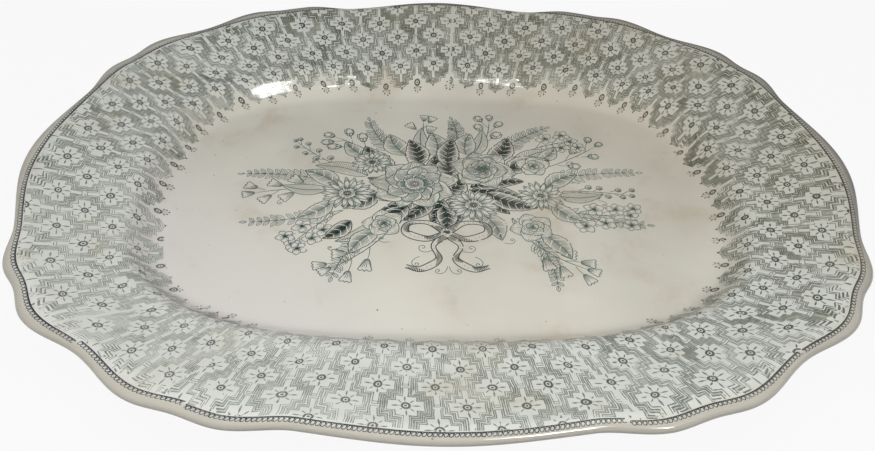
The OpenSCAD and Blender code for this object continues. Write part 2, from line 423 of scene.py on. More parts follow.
def glazed_cream_earthenware(colours):
    """Cream earthenware, pressed and dipped in clear lead glaze.
    To the eye: a warm off-white under a thin bright gloss, greyer where the glaze lies thick, with
    slow waves in its reflections, pinholes, and brown stain that has crept in under old crazing.
    Painted shade greys the rolled edge towards the back and darkens it underneath.
    Real pinholes are too fine to show, so they are drawn larger."""
    material, tree = new_material("glazed_cream_earthenware")
    place = node(tree, "ShaderNodeTexCoord", output="Object")
    bled, worn, painted_under_shade = [
        node(tree, "ShaderNodeAttribute", output="Fac", attribute_name=name)
        for name in ("print_haze", "edge_wear_and_shade", "edge_under_shade")
    ]
    # Painted shade under the rolled edge, laid at six tenths of its cloud
    painted_under_shade = node(tree, "ShaderNodeMath", [painted_under_shade, 0.6], operation="MULTIPLY")
    stain, spread = stain_share(tree, place, 0.34, 60 * MM, 0.22)
    craze = node(tree, "ShaderNodeTexVoronoi", {"Vector": place, "Scale": 1 / (5.5 * MM)},
                 feature="DISTANCE_TO_EDGE")
    craze = node(tree, "ShaderNodeMapRange", {"Value": craze, "From Min": 0.035, "From Max": 0},
                 interpolation_type="SMOOTHSTEP")
    for share in (spread, 0.3):
        craze = node(tree, "ShaderNodeMath", [craze, share], operation="MULTIPLY")
    # Painted shade: the share by which the rolled edge greys towards the back, where it is turned from the
    # light
    far = across_ware(tree, place, TO_BACK, -20 * MM, 90 * MM, 0, 1)
    base = layered(
        tree, colours.glaze,
        (blotches(tree, place, 90 * MM, 0.35, 0.7), colours.pooled),
        (across_ware(tree, place, TO_BACK_RIGHT, -130 * MM, -60 * MM, 0.6, 0), colours.cool),
        (bled, colours.haze),
        (stain, colours.stain),
        # Wear on the rolled edge, greyed by painted shade towards the back, then painted shade under the roll
        (worn, layered(tree, colours.edge, (far, colours.far_edge_shade))),
        (painted_under_shade, colours.under_edge_shade),
        (craze, colours.stain),
        (blotches(tree, place, 2.4 * MM, 0.79, 0.83, 1, 0.4), colours.pinhole),
    )
    cloud = node(tree, "ShaderNodeTexNoise", {
        "Vector": place, "Scale": 1 / (30 * MM), "Detail": 3, "Roughness": 0.55,
    })
    waves = node(tree, "ShaderNodeTexNoise", {
        "Vector": place, "Scale": 1 / (16 * MM), "Detail": 2, "Roughness": 0.5,
    })
    glaze = node(tree, "ShaderNodeBsdfPrincipled", {
        "Base Color": base,
        "Roughness": node(tree, "ShaderNodeMapRange", {"Value": cloud, "To Min": 0.04, "To Max": 0.1}),
        "IOR": 1.54,
        "Normal": node(tree, "ShaderNodeBump", {"Height": waves, "Strength": 0.12, "Distance": 0.8 * MM}),
    })
    node(tree, "ShaderNodeOutputMaterial", [glaze])
    return material


def printed_ceramic_colour(name, ink, paper, fade, near_fade, colours):
    """Ceramic colour, transfer printed and fired under the glaze.
    To the eye: a cool grey-green with the glaze's own gloss, mottled where the tissue took up less
    colour, and thinned in patches where it was rubbed down unevenly, most of all along the front.
    Real mottling is too fine to show, so its grain is drawn coarser."""
    material, tree = new_material(name)
    place = node(tree, "ShaderNodeTexCoord", output="Object")
    thin = blotches(tree, place, 34 * MM, 0.42, 0.72, 3, 0.6, 0.3)
    grain = blotches(tree, place, 1.6 * MM, 0.35, 0.75, 2, 0.6)
    front = across_ware(tree, place, TO_BACK, LOW[1], 60 * MM, near_fade, 0)
    for share, operation in ((grain, "ADD"), (fade, "MULTIPLY"), (front, "ADD")):
        thin = node(tree, "ShaderNodeMath", [thin, share], operation=operation)
    old_paper = (stain_share(tree, place, 0.5, -20 * MM, 0.34)[0], colours.stain)
    old_ink = (stain_share(tree, place, 0.12, -20 * MM, 0.15)[0], colours.stain)
    base = layered(tree, layered(tree, ink, old_ink), (thin, layered(tree, paper, old_paper)))
    print_coat = {"Base Color": base, "Roughness": 0.12, "IOR": 1.54}
    node(tree, "ShaderNodeOutputMaterial", [node(tree, "ShaderNodeBsdfPrincipled", print_coat)])
    return material


def wiped_biscuit(colours):
    """Biscuit earthenware, wiped clean of glaze before the last firing.
    To the eye: dry, sandy and darker than the glazed ware, grubby from wear. Real grit is too fine to
    show, so it is drawn coarser."""
    material, tree = new_material("wiped_biscuit_foot")
    place = node(tree, "ShaderNodeTexCoord", output="Object")
    grit = node(tree, "ShaderNodeTexNoise", {
        "Vector": place, "Scale": 1 / (0.8 * MM), "Detail": 4, "Roughness": 0.7,
    })
    grains = node(tree, "ShaderNodeMapRange", {"Value": grit, "From Min": 0.35, "From Max": 0.7},
                  interpolation_type="SMOOTHSTEP")
    dirt = blotches(tree, place, 22 * MM, 0.4, 0.75, 4, 0.6)
    clay = node(tree, "ShaderNodeBsdfPrincipled", {
        "Base Color": layered(tree, colours.biscuit, (grains, colours.grit), (dirt, colours.foot_dirt)),
        "Roughness": 0.85,
        "Normal": node(tree, "ShaderNodeBump", {"Height": grit, "Strength": 0.5, "Distance": 0.2 * MM}),
    })
    node(tree, "ShaderNodeOutputMaterial", [clay])
    return material


def make_piece(name, points, faces, materials, smooth=True):
    """A mesh object in the frame"""
    mesh = bpy.data.meshes.new(name)
    mesh.from_pydata(np.asarray(points).tolist(), [], faces)
    mesh.validate()
    for material in materials:
        mesh.materials.append(material)
    mesh.polygons.foreach_set("use_smooth", [smooth] * len(mesh.polygons))
    mesh.update()
    piece = bpy.data.objects.new(name, mesh)
    bpy.context.scene.collection.objects.link(piece)
    return piece


def settle(piece, slot, *nodes):
    """Rides the piece on the platter and hides the nodes that it stands for"""
    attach(piece, BODY)
    if nodes:
        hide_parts(*nodes)


def loft(rings, cap_first=True, cap_last=True, closed=False):
    """Points and faces through rings of points, with a fan or a join at the ends"""
    count = len(rings[0])
    points = np.vstack(rings)
    faces = []
    for k in range(len(rings) - (not closed)):
        low, high = k * count, ((k + 1) % len(rings)) * count
        faces += [(low + i, high + i, high + (i + 1) % count, low + (i + 1) % count) for i in range(count)]
    last = (len(rings) - 1) * count
    if cap_first and not closed:
        points = np.vstack([points, rings[0].mean(axis=0)])
        centre = len(points) - 1
        faces += [(centre, i, (i + 1) % count) for i in range(count)]
    if cap_last and not closed:
        points = np.vstack([points, rings[-1].mean(axis=0)])
        centre = len(points) - 1
        faces += [(centre, last + (i + 1) % count, last + i) for i in range(count)]
    return points, faces


class PLATTER_OT_ware(bpy.types.Operator):
    """Builds the pressed and glazed ware: floor, wall, border, rolled edge and back"""

    bl_idname = "platter.ware"
    bl_label = "Glazed ware"

    COLUMNS = 640
    FACE_STEP = 1.4 * MM
    BACK_STEP = 3 * MM
    ROLL_STEPS = 12
    # Rings inside the floor's outline and the one inside the base's, as shares of it
    FLOOR_RINGS = (0.12, 0.3, 0.5, 0.7, 0.86)
    BASE_RING = 0.5
    # Clouds on the glaze: colour bled from the printed border, wear on the rolled edge and behind it
    # (greyed by painted shade towards the back), and painted shade under the roll. Each begins, is full,
    # wanes and ends at these distances in from the edge, in millimetres
    CLOUDS = {
        "print_haze": (84, 66, 8, 5.5),
        "edge_wear_and_shade": (5, 3.4, -6, -14),
        "edge_under_shade": (-2.6, -5, -8, -16),
    }

    def execute(self, context):
        skin = Skin(context.scene.platter_sizes)
        a = np.linspace(0, TAU, self.COLUMNS, endpoint=False)
        face = np.linspace(0, skin.v_edge, int(skin.v_edge / self.FACE_STEP))
        roll = np.linspace(skin.v_edge, skin.v_back, self.ROLL_STEPS + 1)[1:]
        end = skin.v[-1]
        back = np.linspace(skin.v_back, end, int((end - skin.v_back) / self.BACK_STEP))[1:]
        places = np.concatenate([face, roll, back])
        rings = [skin.point(v, a) for v in places]

        def inside(ring, share, level):
            """A smaller ring at that level"""
            ring = ring * [share, share, 1]
            ring[:, 2] = level + skin.warp(ring[:, 0], ring[:, 1])
            return ring

        inner = [inside(rings[0], share, skin.floor_z) for share in self.FLOOR_RINGS]
        under = inside(rings[-1], self.BASE_RING, skin.base_z)
        points, faces = loft(inner + rings + [under])
        glaze = glazed_cream_earthenware(context.scene.platter_colours)
        ware = make_piece("glazed_ware", points, faces, [glaze])
        for name, stops in self.CLOUDS.items():
            field = np.interp(places, [skin.inward(s * MM) for s in stops], (0, 1, 1, 0))
            field = np.concatenate([np.zeros(len(inner)), field, [0]]).repeat(self.COLUMNS)
            made = ware.data.attributes.new(name, "FLOAT", "POINT")
            made.data.foreach_set("value", np.append(field, np.zeros(len(points) - len(field))))
        settle(ware, "glaze", "body", "glaze")
        return {"FINISHED"}


class PLATTER_OT_foot(bpy.types.Operator):
    """Builds the foot ring with its wiped face, the glazed recess and the stilt marks in it"""

    bl_idname = "platter.foot"
    bl_label = "Foot and base"

    COLUMNS = 360
    # Section of the foot ring: inset as a share of its width, height as a share of its height
    SECTION_SHARES = (
        (-0.3, 1.06), (-0.08, 0.98), (0, 0.8), (0.02, 0.3), (0.07, 0.09), (0.16, 0), (0.84, 0),
        (0.93, 0.09), (0.98, 0.3), (1, 0.8), (1.08, 0.98), (1.3, 1.06),
    )
    # Glaze in the recess: how far it stands below the foot's root, and its inner rings as shares of
    # the one round them
    RECESS_D = 0.25 * MM
    RECESS_RINGS = (0.8, 0.55, 0.3, 0.1)
    # Stilt marks: turns of the groups of three, the oval that the groups stand on, a mark's distance
    # from its group's middle, and depth and radius of a mark's rings, with lengths in millimetres
    STILT_TURNS = (0.4, 2.5, 4.6)
    STILT_OVAL = (96, 62)
    SPUR_FAR = 7
    SPUR_RINGS = ((0, 1.5), (0.25, 1.1), (0.1, 0.5))
    SPUR_STEPS = 9

    def execute(self, context):
        sizes = context.scene.platter_sizes
        skin = Skin(sizes)
        a = np.linspace(0, TAU, self.COLUMNS, endpoint=False)

        def ring(inset, z):
            """A level ring that far inside the floor's outline"""
            r = skin.floor(a) - inset
            return np.stack([r * np.cos(a), r * np.sin(a), np.full_like(a, z)], axis=-1)

        rings = [
            ring(sizes.foot_inset + u * sizes.foot_t, h * sizes.foot_h) for u, h in self.SECTION_SHARES
        ]
        points, faces = loft(rings, closed=True)
        glaze = bpy.data.materials["glazed_cream_earthenware"]
        biscuit = wiped_biscuit(context.scene.platter_colours)
        foot = make_piece("foot_ring_wiped", points, faces, [biscuit, glaze])
        for face in foot.data.polygons:
            face.material_index = int(face.center.z > sizes.bare_h)
        settle(foot, "clay", "foot_ring")

        inset = sizes.foot_inset + 1.2 * sizes.foot_t
        low = sizes.foot_h - self.RECESS_D
        rings = [ring(inset, sizes.foot_h), ring(inset + 2 * MM, low), ring(inset + 14 * MM, low)]
        rings += [rings[-1] * [s, s, 1] for s in self.RECESS_RINGS]
        for one in rings[1:]:
            one[:, 2] += 0.3 * skin.warp(one[:, 0], one[:, 1])
        points, faces = loft([one[::-1] for one in rings], cap_first=False)
        settle(make_piece("glazed_recess", points, faces, [glaze]), "glaze", "base_glaze")

        random.seed(7)
        steps = self.SPUR_STEPS
        points, faces = [], []
        for turn in self.STILT_TURNS:
            for spur in range(3):
                at = turn + spur * TAU / 3
                x = self.STILT_OVAL[0] * MM * math.cos(turn) + self.SPUR_FAR * MM * math.cos(at)
                y = self.STILT_OVAL[1] * MM * math.sin(turn) + self.SPUR_FAR * MM * math.sin(at)
                first = len(points)
                for level, r in self.SPUR_RINGS:
                    for i in range(steps):
                        b = i * TAU / steps
                        rough = r * MM * random.uniform(0.8, 1.2)
                        points.append((x + rough * math.cos(b), y + rough * math.sin(b), low - level * MM))
                for base in (first, first + steps):
                    for i in range(steps):
                        j = (i + 1) % steps
                        faces.append((base + j, base + i, base + steps + i, base + steps + j))
                faces.append([first + 2 * steps + i for i in range(steps)][::-1])
        settle(make_piece("stilt_marks", points, faces, [biscuit]), "clay")
        return {"FINISHED"}


def patch(x, y, size, seed):
    """A smooth field from about -1 to 1, whose blotches are about that size"""
    dice = np.random.RandomState(seed)
    total = np.zeros(np.shape(x))
    for _ in range(6):
        turn, phase, scale = dice.uniform(0, TAU), dice.uniform(0, TAU), size * dice.uniform(0.25, 0.6)
        total = total + np.sin((np.cos(turn) * x + np.sin(turn) * y) / scale + phase)
    return total / 3


# Tones of a print, which are also the numbers of its materials: fine work, what is printed in full
# strength, and the thin colour smeared under both
FINE, FULL, VEIL = 0, 1, 2


class Sheet:
    """Printed shapes gathered flat, in metres on the paper, and then laid on the ware"""

    STEP = 1.7 * MM

    def __init__(self):
        self.points = []
        self.point_tones = []
        self.count = 0
        self.faces = {4: [], 3: []}
        self.face_tones = {4: [], 3: []}
        self.tone = FINE

    def add(self, points, *corners):
        """Keeps the points, and the faces whose corners are these columns of their numbers"""
        corners = self.count + np.column_stack(corners)
        self.points.append(points)
        self.point_tones.append(np.full(len(points), self.tone))
        self.count += len(points)
        self.faces[corners.shape[1]].append(corners)
        self.face_tones[corners.shape[1]].append(np.full(len(corners), self.tone))

    def fine(self, line):
        """The line with points added so that no stretch is long"""
        line = np.asarray(line, float)
        pieces = []
        for a, b in zip(line[:-1], line[1:]):
            cuts = max(1, int(math.ceil(math.hypot(*(b - a)) / self.STEP)))
            pieces.append(a + (b - a) * np.arange(cuts)[:, None] / cuts)
        return np.vstack(pieces + [line[-1:]])

    def ribbon(self, line, width, closed=False):
        """A stroke of that width, one value or one for each point"""
        line = np.asarray(line, float)
        if closed:
            before, after = np.roll(line, 1, axis=0), np.roll(line, -1, axis=0)
        else:
            before = np.vstack([2 * line[:1] - line[1:2], line[:-1]])
            after = np.vstack([line[1:], 2 * line[-1:] - line[-2:-1]])
        one, two = [unit(way)[:, ::-1] * [-1, 1] for way in (line - before, after - line)]
        mitre = (one + two) / np.maximum(1 + (one * two).sum(axis=1, keepdims=True), 0.4)
        half = mitre * np.reshape(width, (-1, 1)) / 2
        n = len(line)
        i = np.arange(n if closed else n - 1)
        j = (i + 1) % n
        self.add(np.vstack([line + half, line - half]), i, i + n, j + n, j)

    def between(self, one, two, cuts=6):
        """The area between two lines of as many points"""
        at = np.linspace(0, len(one) - 1, (len(one) - 1) * cuts + 1)
        lines = [pairs(*[np.interp(at, np.arange(len(one)), row) for row in line.T]) for line in (one, two)]
        n = len(at)
        i = np.arange(n - 1)
        self.add(np.vstack(lines), i, i + n, i + n + 1, i + 1)

    def disc(self, x, y, rx, ry, steps=8):
        """A filled oval"""
        i = np.arange(steps)
        b = i * TAU / steps
        rim = pairs(x + rx * np.cos(b), y + ry * np.sin(b))
        self.add(np.vstack([[x, y], rim]), np.zeros_like(i), 1 + i, 1 + (i + 1) % steps)

    def hoop(self, x, y, rx, ry, width, steps=14, tilt=0.0):
        """An oval outline"""
        b = np.arange(steps) * TAU / steps
        out = pairs(rx * np.cos(b) + tilt * np.sin(b), ry * np.sin(b))
        self.ribbon(out + [x, y], width, closed=True)

    def laid(self, points, keep):
        """The points on the ware, the faces that lie wholly on kept points, and their tones"""
        kept = []
        for sides, parts in self.faces.items():
            corners, tones = np.vstack(parts), np.concatenate(self.face_tones[sides])
            whole = keep[corners].all(axis=1)
            kept.append((corners[whole], tones[whole]))
        used = np.unique(np.concatenate([corners.ravel() for corners, _ in kept]))
        new = np.zeros(len(points), int)
        new[used] = np.arange(len(used))
        faces = []
        for corners, _ in kept:
            p = points[corners]
            down = np.cross(p[:, 1] - p[:, 0], p[:, 2] - p[:, 0])[:, 2] < 0
            faces += np.where(down[:, None], new[corners][:, ::-1], new[corners]).tolist()
        return points[used], faces, np.concatenate([tones for _, tones in kept])


def print_colours(part, colours):
    """The fired colour of a print in its tones, made once: its ground, then ink, fading and fading
    along the front for each tone"""
    ground, *inks = {
        "border": (colours.haze, (colours.border_ink, 0.13, 0.22), (colours.border_dark, 0.08, 0.14),
                   (colours.border_veil, 0.32, 0.44)),
        "band": (colours.glaze, (colours.band_ink, 0.12, 0), (colours.band_ink, 0.06, 0)),
        "bouquet": (colours.glaze, (colours.bouquet_ink, 0.12, 0), (colours.bouquet_dark, 0.08, 0)),
    }[part]
    made = []
    for tone, (ink, fade, near_fade) in zip(("fine", "full", "veil"), inks):
        name = f"printed_{part}_colour_{tone}"
        if name not in bpy.data.materials:
            printed_ceramic_colour(name, ink, ground, fade, near_fade, colours)
        made.append(bpy.data.materials[name])
    return made


def make_print(name, cad_node, part, sheet, points, keep):
    """One printed piece on the ware, in place of its film in the frame"""
    kept, faces, tones = sheet.laid(points, keep)
    piece = make_piece(name, kept, faces, print_colours(part, bpy.context.scene.platter_colours))
    piece.data.polygons.foreach_set("material_index", tones)
    settle(piece, "ink", cad_node)


def strip_at(a):
    """Number of the border strip at the turns a"""
    share = (a / TAU - STRIP_SHARES[0]) % 1
    starts = np.array(STRIP_SHARES[1:-1]) - STRIP_SHARES[0]
    return np.searchsorted(starts, share, side="right")


class BorderLay:
    """Carries the border from the paper to the ware, as the tissue was laid by hand"""

    # Above the first row the tissue was drawn out to the edge: from how far up, over what, and by what
    PULL_FROM = 4 * MM
    PULL_OVER = 8 * MM
    PULL = 3.2 * MM

    def __init__(self, skin, prints):
        self.skin = skin
        self.prints = prints
        self.turn = np.linspace(-0.3, 1.3, 3201)
        table = np.vstack([TISSUE_LAY + [turns, 0, 0, 0, 0] for turns in (-1, 0, 1)])
        self.table = table
        self.columns = [
            np.maximum.accumulate(prints.columns * self.turn + np.interp(self.turn, table[:, 0], table[:, c]))
            for c in (1, 2)
        ]
        rows = (prints.first_row, prints.first_row + 3 * prints.row_pitch)
        self.round = [skin.way_round(skin.inward(s)) for s in rows]

    def place(self, paper):
        """v and a on the skin for points on the paper: along it in metres, and down from row one"""
        x, y = [
            way + 0.3 * MM * patch(*paper.T, 6 * MM, seed) + 0.16 * MM * patch(*paper.T, 2.6 * MM, seed + 2)
            for way, seed in zip(paper.T, (21, 22))
        ]
        pull = np.clip((-y - self.PULL_FROM) / self.PULL_OVER, 0, 1)
        y = y - self.PULL * pull ** 2 * (3 - 2 * pull)
        column = x / self.prints.pitch
        depth = np.clip(y / (3 * self.prints.row_pitch), -0.35, 1.35)
        shares = [np.interp(column, c, self.turn) for c in self.columns]
        share = mix(shares[0], shares[1], depth)
        angles = [np.interp(share % 1, s, a) for a, s in self.round]
        jump = (angles[1] - angles[0] + math.pi) % TAU - math.pi
        a = angles[0] + jump * depth
        slip = [np.interp(share, self.table[:, 0], self.table[:, c]) * MM for c in (3, 4)]
        slip = mix(slip[0], slip[1], np.clip(depth, 0, 1))
        jog = STRIP_JOGS[strip_at(a)]
        a = a + jog[:, 0] * TAU / self.prints.columns
        s = self.prints.first_row + y + slip + jog[:, 1] * MM - self.prints.follow * self.skin.swing(a)
        s = s * self.skin.border / self.skin.width_at(a)
        return self.skin.inward(s), a


def heavy(prints, x):
    """How heavily the border is printed along it: from 0 at the front left to 1 at the back right"""
    return (0.5 + 0.5 * np.sin(TAU * x / (prints.columns * prints.pitch) + 0.7)) ** 0.6


class BorderSheet(Sheet):
    """The border's pattern, drawn flat: rosettes in staggered rows, a hatched stair between them, and
    teeth and pendants under the last row"""

    # A stair's steps, from a rosette's middle: half width of the bar and of the block, how far down
    # the arm and the block reach, and the gap left round the bars
    BAR = 1.45 * MM
    BLOCK = 5.03 * MM
    ARM_H = 3.5 * MM
    BLOCK_H = 6.7 * MM
    GAP = 1.4 * MM
    TOOTH_LINES = 6
    ROWS = (-1, 0, 1, 2, 3)

    def __init__(self, prints):
        super().__init__()
        self.prints = prints
        self.dice = random.Random(31)
        for row in self.ROWS:
            y0 = row * prints.row_pitch
            tooth = row == self.ROWS[-1]
            for column in range(prints.columns):
                x0 = (column + (row % 2) / 2) * prints.pitch
                for side in (-1, 1):
                    self.channel(x0, y0, side, tooth)
                self.rosette(x0, y0)
                if tooth:
                    self.tone = FULL
                    self.disc(x0, y0 + 17.5 * MM, 0.85 * MM, 0.75 * MM)
                    self.pendant(x0 + prints.pitch / 2, y0 + prints.row_pitch)
                else:
                    self.bars(x0, y0)

    def channel(self, x0, y0, side, tooth):
        """The hatched stair between a rosette and its neighbour below, to one side, or half a tooth.
        The thin colour between the lines fills every other space, or all of them, or is wiped away."""
        prints, dice = self.prints, self.dice
        lines = self.TOOTH_LINES if tooth else prints.hatch_lines
        arm = prints.pitch / 2 - self.BAR - prints.channel
        spacing = prints.channel / (prints.hatch_lines - 1)
        smear = patch(x0, y0, 26 * MM, 13) + dice.uniform(-0.6, 0.6)
        inked = dice.uniform(0.8, 1.1) + 0.14 * heavy(prints, x0)
        wiped = 0.6 * heavy(prints, x0) + 0.5
        even = None
        for j in range(lines):
            d = j * spacing
            step, block = self.ARM_H + d, self.BLOCK_H + d
            line = [(arm + d, 0), (arm + d, step)]
            if j >= prints.hatch_lines:
                line = [(arm + prints.channel, step)]
            line += [(self.BLOCK + d, step), (self.BLOCK + d, block), (self.BAR + d, block)]
            if tooth:
                end = prints.row_pitch - self.GAP - 0.6 * MM
                line += [(self.BAR + d, end + 0.47 * d), (0, end + 0.02 * MM + 0.92 * d)]
            else:
                line += [(self.BAR + d, prints.row_pitch - (self.GAP if j == 0 else 0))]
            line = np.array(line) * [side, 1] + [x0, y0]
            if j < prints.hatch_lines and smear > -1 and (j in (2, 4) if smear > wiped else j % 2):
                self.tone = VEIL
                self.between(even, line)
                self.tone = FINE
            if j % 2 == 0:
                even = line
            line = self.fine(line)
            x, y = line.T
            thick = 1 + 0.34 * patch(x, y, 19 * MM, 11) + 0.28 * patch(x, y, 5 * MM, 12)
            thick += 0.3 * heavy(prints, x) - 0.26
            thick = inked * np.clip(thick, 0.64, 1.5) * [dice.uniform(0.65, 1.35) for _ in x]
            self.ribbon(line, prints.hatch_w * thick * (0.85 if j in (0, lines - 1) else 1))

    def rosette(self, x0, y0):
        """Beaded ring, centre dot and eight spindles"""
        strength = heavy(self.prints, x0)
        ring = 1.75 * MM
        self.tone = FULL
        self.hoop(x0, y0, ring, ring, self.dice.uniform(0.75, 1.0) * (1 + 0.45 * strength) * MM)
        for i in range(8):
            b = i * TAU / 8 + TAU / 16
            far = 1.15 * ring
            self.disc(x0 + far * math.cos(b), y0 + far * math.sin(b), 0.5 * MM, 0.5 * MM, 6)
        self.disc(x0, y0, 0.7 * MM, 0.7 * MM)
        self.tone = FINE
        for i in range(8):
            if self.dice.random() < 0.05:
                continue
            b = i * TAU / 8
            near, waist, far, fat = (2.1, 3.1, 5.4, 0.9) if i % 2 else (2.2, 3.5, 6.7, 1.1)
            way = np.array([math.cos(b), math.sin(b)])
            spine = np.array([near, waist, mix(waist, far, 0.35), mix(waist, far, 0.65), far])
            swell = np.array([0.4, 0.35, fat, 0.9 * fat, 0.3]) * mix(0.75, 1, strength)
            self.ribbon(np.array([x0, y0]) + spine[:, None] * MM * way, swell * MM)

    def bars(self, x0, y0):
        """Three short bars below a rosette, and thin colour above them, mostly where the print is heavy"""
        below = y0 + self.prints.row_pitch
        if self.dice.random() < 0.1 + 0.75 * heavy(self.prints, x0):
            self.tone = VEIL
            ends = (y0 + self.BLOCK_H + self.GAP, below - self.GAP)
            self.between(*[pairs(x0 + side * self.BAR, ends) for side in (-1, 1)])
            self.tone = FINE
        for y in (-self.GAP, 0, self.GAP):
            line = pairs((x0 - self.BAR, x0 + self.BAR), y0 + (self.prints.row_pitch + y))
            self.ribbon(self.fine(line), 0.8 * self.prints.hatch_w)

    def pendant(self, x0, y0):
        """Ring with a dot, and five stalked dots fanned out below it"""
        self.tone = FULL
        self.hoop(x0, y0, 1.9 * MM, 1.9 * MM, 1.2 * MM)
        self.disc(x0, y0, 0.7 * MM, 0.7 * MM)
        for x, y in ((-2.9, 3.6), (-2.3, 5.5), (0, 6.9), (2.3, 5.5), (2.9, 3.6)):
            self.disc(x0 + x * MM, y0 + y * MM, 0.72 * MM, 0.66 * MM, 7)
            self.ribbon([(x0 + 0.3 * x * MM, y0 + 2.4 * MM), (x0 + x * MM, y0 + y * MM)], 0.28 * MM)
        self.tone = FINE


class BandLay:
    """Where the beaded band lies: how far in from the edge, at each turn"""

    # How much nearer the edge the band lies at the front, and half of it again where it slipped, in
    # millimetres, and the middle and half the length of the slip, as angles
    NEARER = 1.2
    SLIP_AT = 4.9
    SLIP_REACH = 0.22
    # Where two lengths of the band meet, as an angle, and how far in each of them strays there, in
    # millimetres; how soon it is back, and half the gap between them, as angles
    JOINS = ((3.848, -0.7, 0.8), (4.147, 0.7, -0.5), (5.117, 0.7, -0.5), (5.565, 0.4, -0.3))
    JOIN_REACH = 0.06
    JOIN_GAP = 0.002

    def __init__(self, skin, prints):
        self.skin = skin
        self.prints = prints

    def line_at(self, a):
        """Distance in from the edge itself to the middle of the band's dark line"""
        wander = 0.2 * np.sin(5 * a + 1) + 0.2 * np.sin(11 * a) - self.NEARER * np.clip(-np.sin(a), 0, 1)
        wander -= 0.5 * self.NEARER * np.exp(-((a % TAU - self.SLIP_AT) / self.SLIP_REACH) ** 2)
        for join, before, after in self.JOINS:
            past = (a - join + math.pi) % TAU - math.pi
            wander += np.where(past < 0, before, after) * np.exp(-np.abs(past) / self.JOIN_REACH)
        return self.prints.line_in + wander * MM + (0.45 + 0.4 * np.sin(a)) * self.skin.swing(a) + 0.2 * MM

    def clear(self, a):
        """Whether each turn is clear of the gaps at the joins"""
        past = (a[:, None] - [join for join, _, _ in self.JOINS] + math.pi) % TAU - math.pi
        return (np.abs(past) > self.JOIN_GAP).all(axis=1)

    def place(self, inset, a):
        """v on the skin at a distance in from the edge itself"""
        swing = self.skin.swing(a)
        v = np.full_like(a, self.skin.v_edge)
        outermost = self.skin.v_edge + TAU / 4 * self.skin.sizes.edge_t / 2
        step = 8 * MM
        for _ in range(14):
            w, e, k = self.skin.at(v, 0, 1, 3)
            inward = e + w * self.skin.border + (1 - k) * swing
            v = np.minimum(np.where(inward < inset, v - step, v + step), outermost)
            step *= 0.62
        return v


class PLATTER_OT_border(bpy.types.Operator):
    """Draws the border's rosettes, hatched ground, teeth and pendants, strip by strip"""

    bl_idname = "platter.border"
    bl_label = "Border print"

    def execute(self, context):
        skin = Skin(context.scene.platter_sizes)
        prints = context.scene.platter_print
        band = BandLay(skin, prints)
        sheet = BorderSheet(prints)
        v, a = BorderLay(skin, prints).place(np.vstack(sheet.points))
        tones = np.concatenate(sheet.point_tones)
        lift = prints.lift * np.where(tones == VEIL, 0.5, 1)
        points = skin.point(v, a) + lift[:, None] * skin.normal(v, a)
        free = v < band.place(band.line_at(a) + prints.line_w / 3, a)
        x, y = points[:, 0], points[:, 1]
        worn = patch(x, y, 70 * MM, 3) + 0.7 * patch(x, y, 14 * MM, 4)
        dice = np.random.RandomState(9)
        lost = dice.uniform(0, 1, len(points)) < 0.006 + 0.035 * np.clip(worn - 0.5, 0, 1)
        free &= ~lost | (tones != FINE)
        strip = strip_at(a)
        for i in range(len(STRIP_SHARES) - 1):
            keep = free & (strip == i)
            make_print(f"border_strip_{i + 1}", f"border_print_{i + 1}", "border", sheet, points, keep)
        return {"FINISHED"}


class PLATTER_OT_band(bpy.types.Operator):
    """Draws the string of beads and its dark line along the edge"""

    bl_idname = "platter.band"
    bl_label = "Beaded band"

    # Half length and half width of a bead
    BEAD_RX = 0.92 * MM
    BEAD_RY = 0.98 * MM

    def execute(self, context):
        skin = Skin(context.scene.platter_sizes)
        prints = context.scene.platter_print
        band = BandLay(skin, prints)
        turn = np.linspace(0, TAU, skin.TURNS + 1)
        middle = band.line_at(turn) - 0.4 * prints.line_w - self.BEAD_RY
        way = way_along(skin.point(band.place(middle, turn), turn))
        sheet = Sheet()
        sheet.tone = FULL
        x = np.arange(0, way[-1] + MM, MM)
        uneven = 1 + 0.18 * np.sin(x / (31 * MM)) + 0.15 * np.sin(x / (7.3 * MM))
        heavier = 1.15 + 0.35 * np.sin(np.interp(x, way, turn) + 0.2)
        sheet.ribbon(pairs(x, 0), prints.line_w * uneven * heavier)
        bead_y = -0.4 * prints.line_w - self.BEAD_RY
        beads = int(way[-1] / prints.bead_pitch)
        pitch = way[-1] / beads
        dice = random.Random(17)
        for i in range(beads):
            x = i * pitch
            sheet.tone = FINE
            outline = dice.uniform(0.32, 0.46) * MM
            sheet.hoop(x, bead_y, self.BEAD_RX, self.BEAD_RY, outline, 10, 0.3 * self.BEAD_RX)
            sheet.tone = FULL
            sheet.disc(x + pitch / 2, bead_y + 0.7 * self.BEAD_RY, 0.28 * MM, 0.5 * MM, 6)
            if i % 3 == 0:
                sheet.disc(x + pitch / 2, bead_y - 0.75 * self.BEAD_RY, 0.26 * MM, 0.3 * MM, 5)
        paper = np.vstack(sheet.points)
        a = np.interp(paper[:, 0] % way[-1], way, turn)
        v = band.place(band.line_at(a) + paper[:, 1], a)
        points = skin.point(v, a) + prints.lift * skin.normal(v, a)
        make_print("beaded_band", "edge_print", "band", sheet, points, band.clear(a))
        return {"FINISHED"}


def resample(line, step):
    """The line again with its points a step apart"""
    line = np.asarray(line, float)
    way = way_along(line)
    at = np.linspace(0, way[-1], max(2, int(way[-1] / step) + 1))
    return pairs(*[np.interp(at, way, row) for row in line.T])


def through(points):
    """A smooth line through points"""
    points = np.asarray(points, float)
    padded = np.vstack([2 * points[0] - points[1], points, 2 * points[-1] - points[-2]])
    t = np.linspace(0, 1, 24, endpoint=False)[:, None]
    out = []
    for i in range(1, len(padded) - 2):
        p0, p1, p2, p3 = padded[i - 1:i + 3]
        out.append(0.5 * (2 * p1 + (p2 - p0) * t + (2 * p0 - 5 * p1 + 4 * p2 - p3) * t ** 2
                          + (3 * p1 - p0 - 3 * p2 + p3) * t ** 3))
    return np.vstack(out + [points[-1:]])


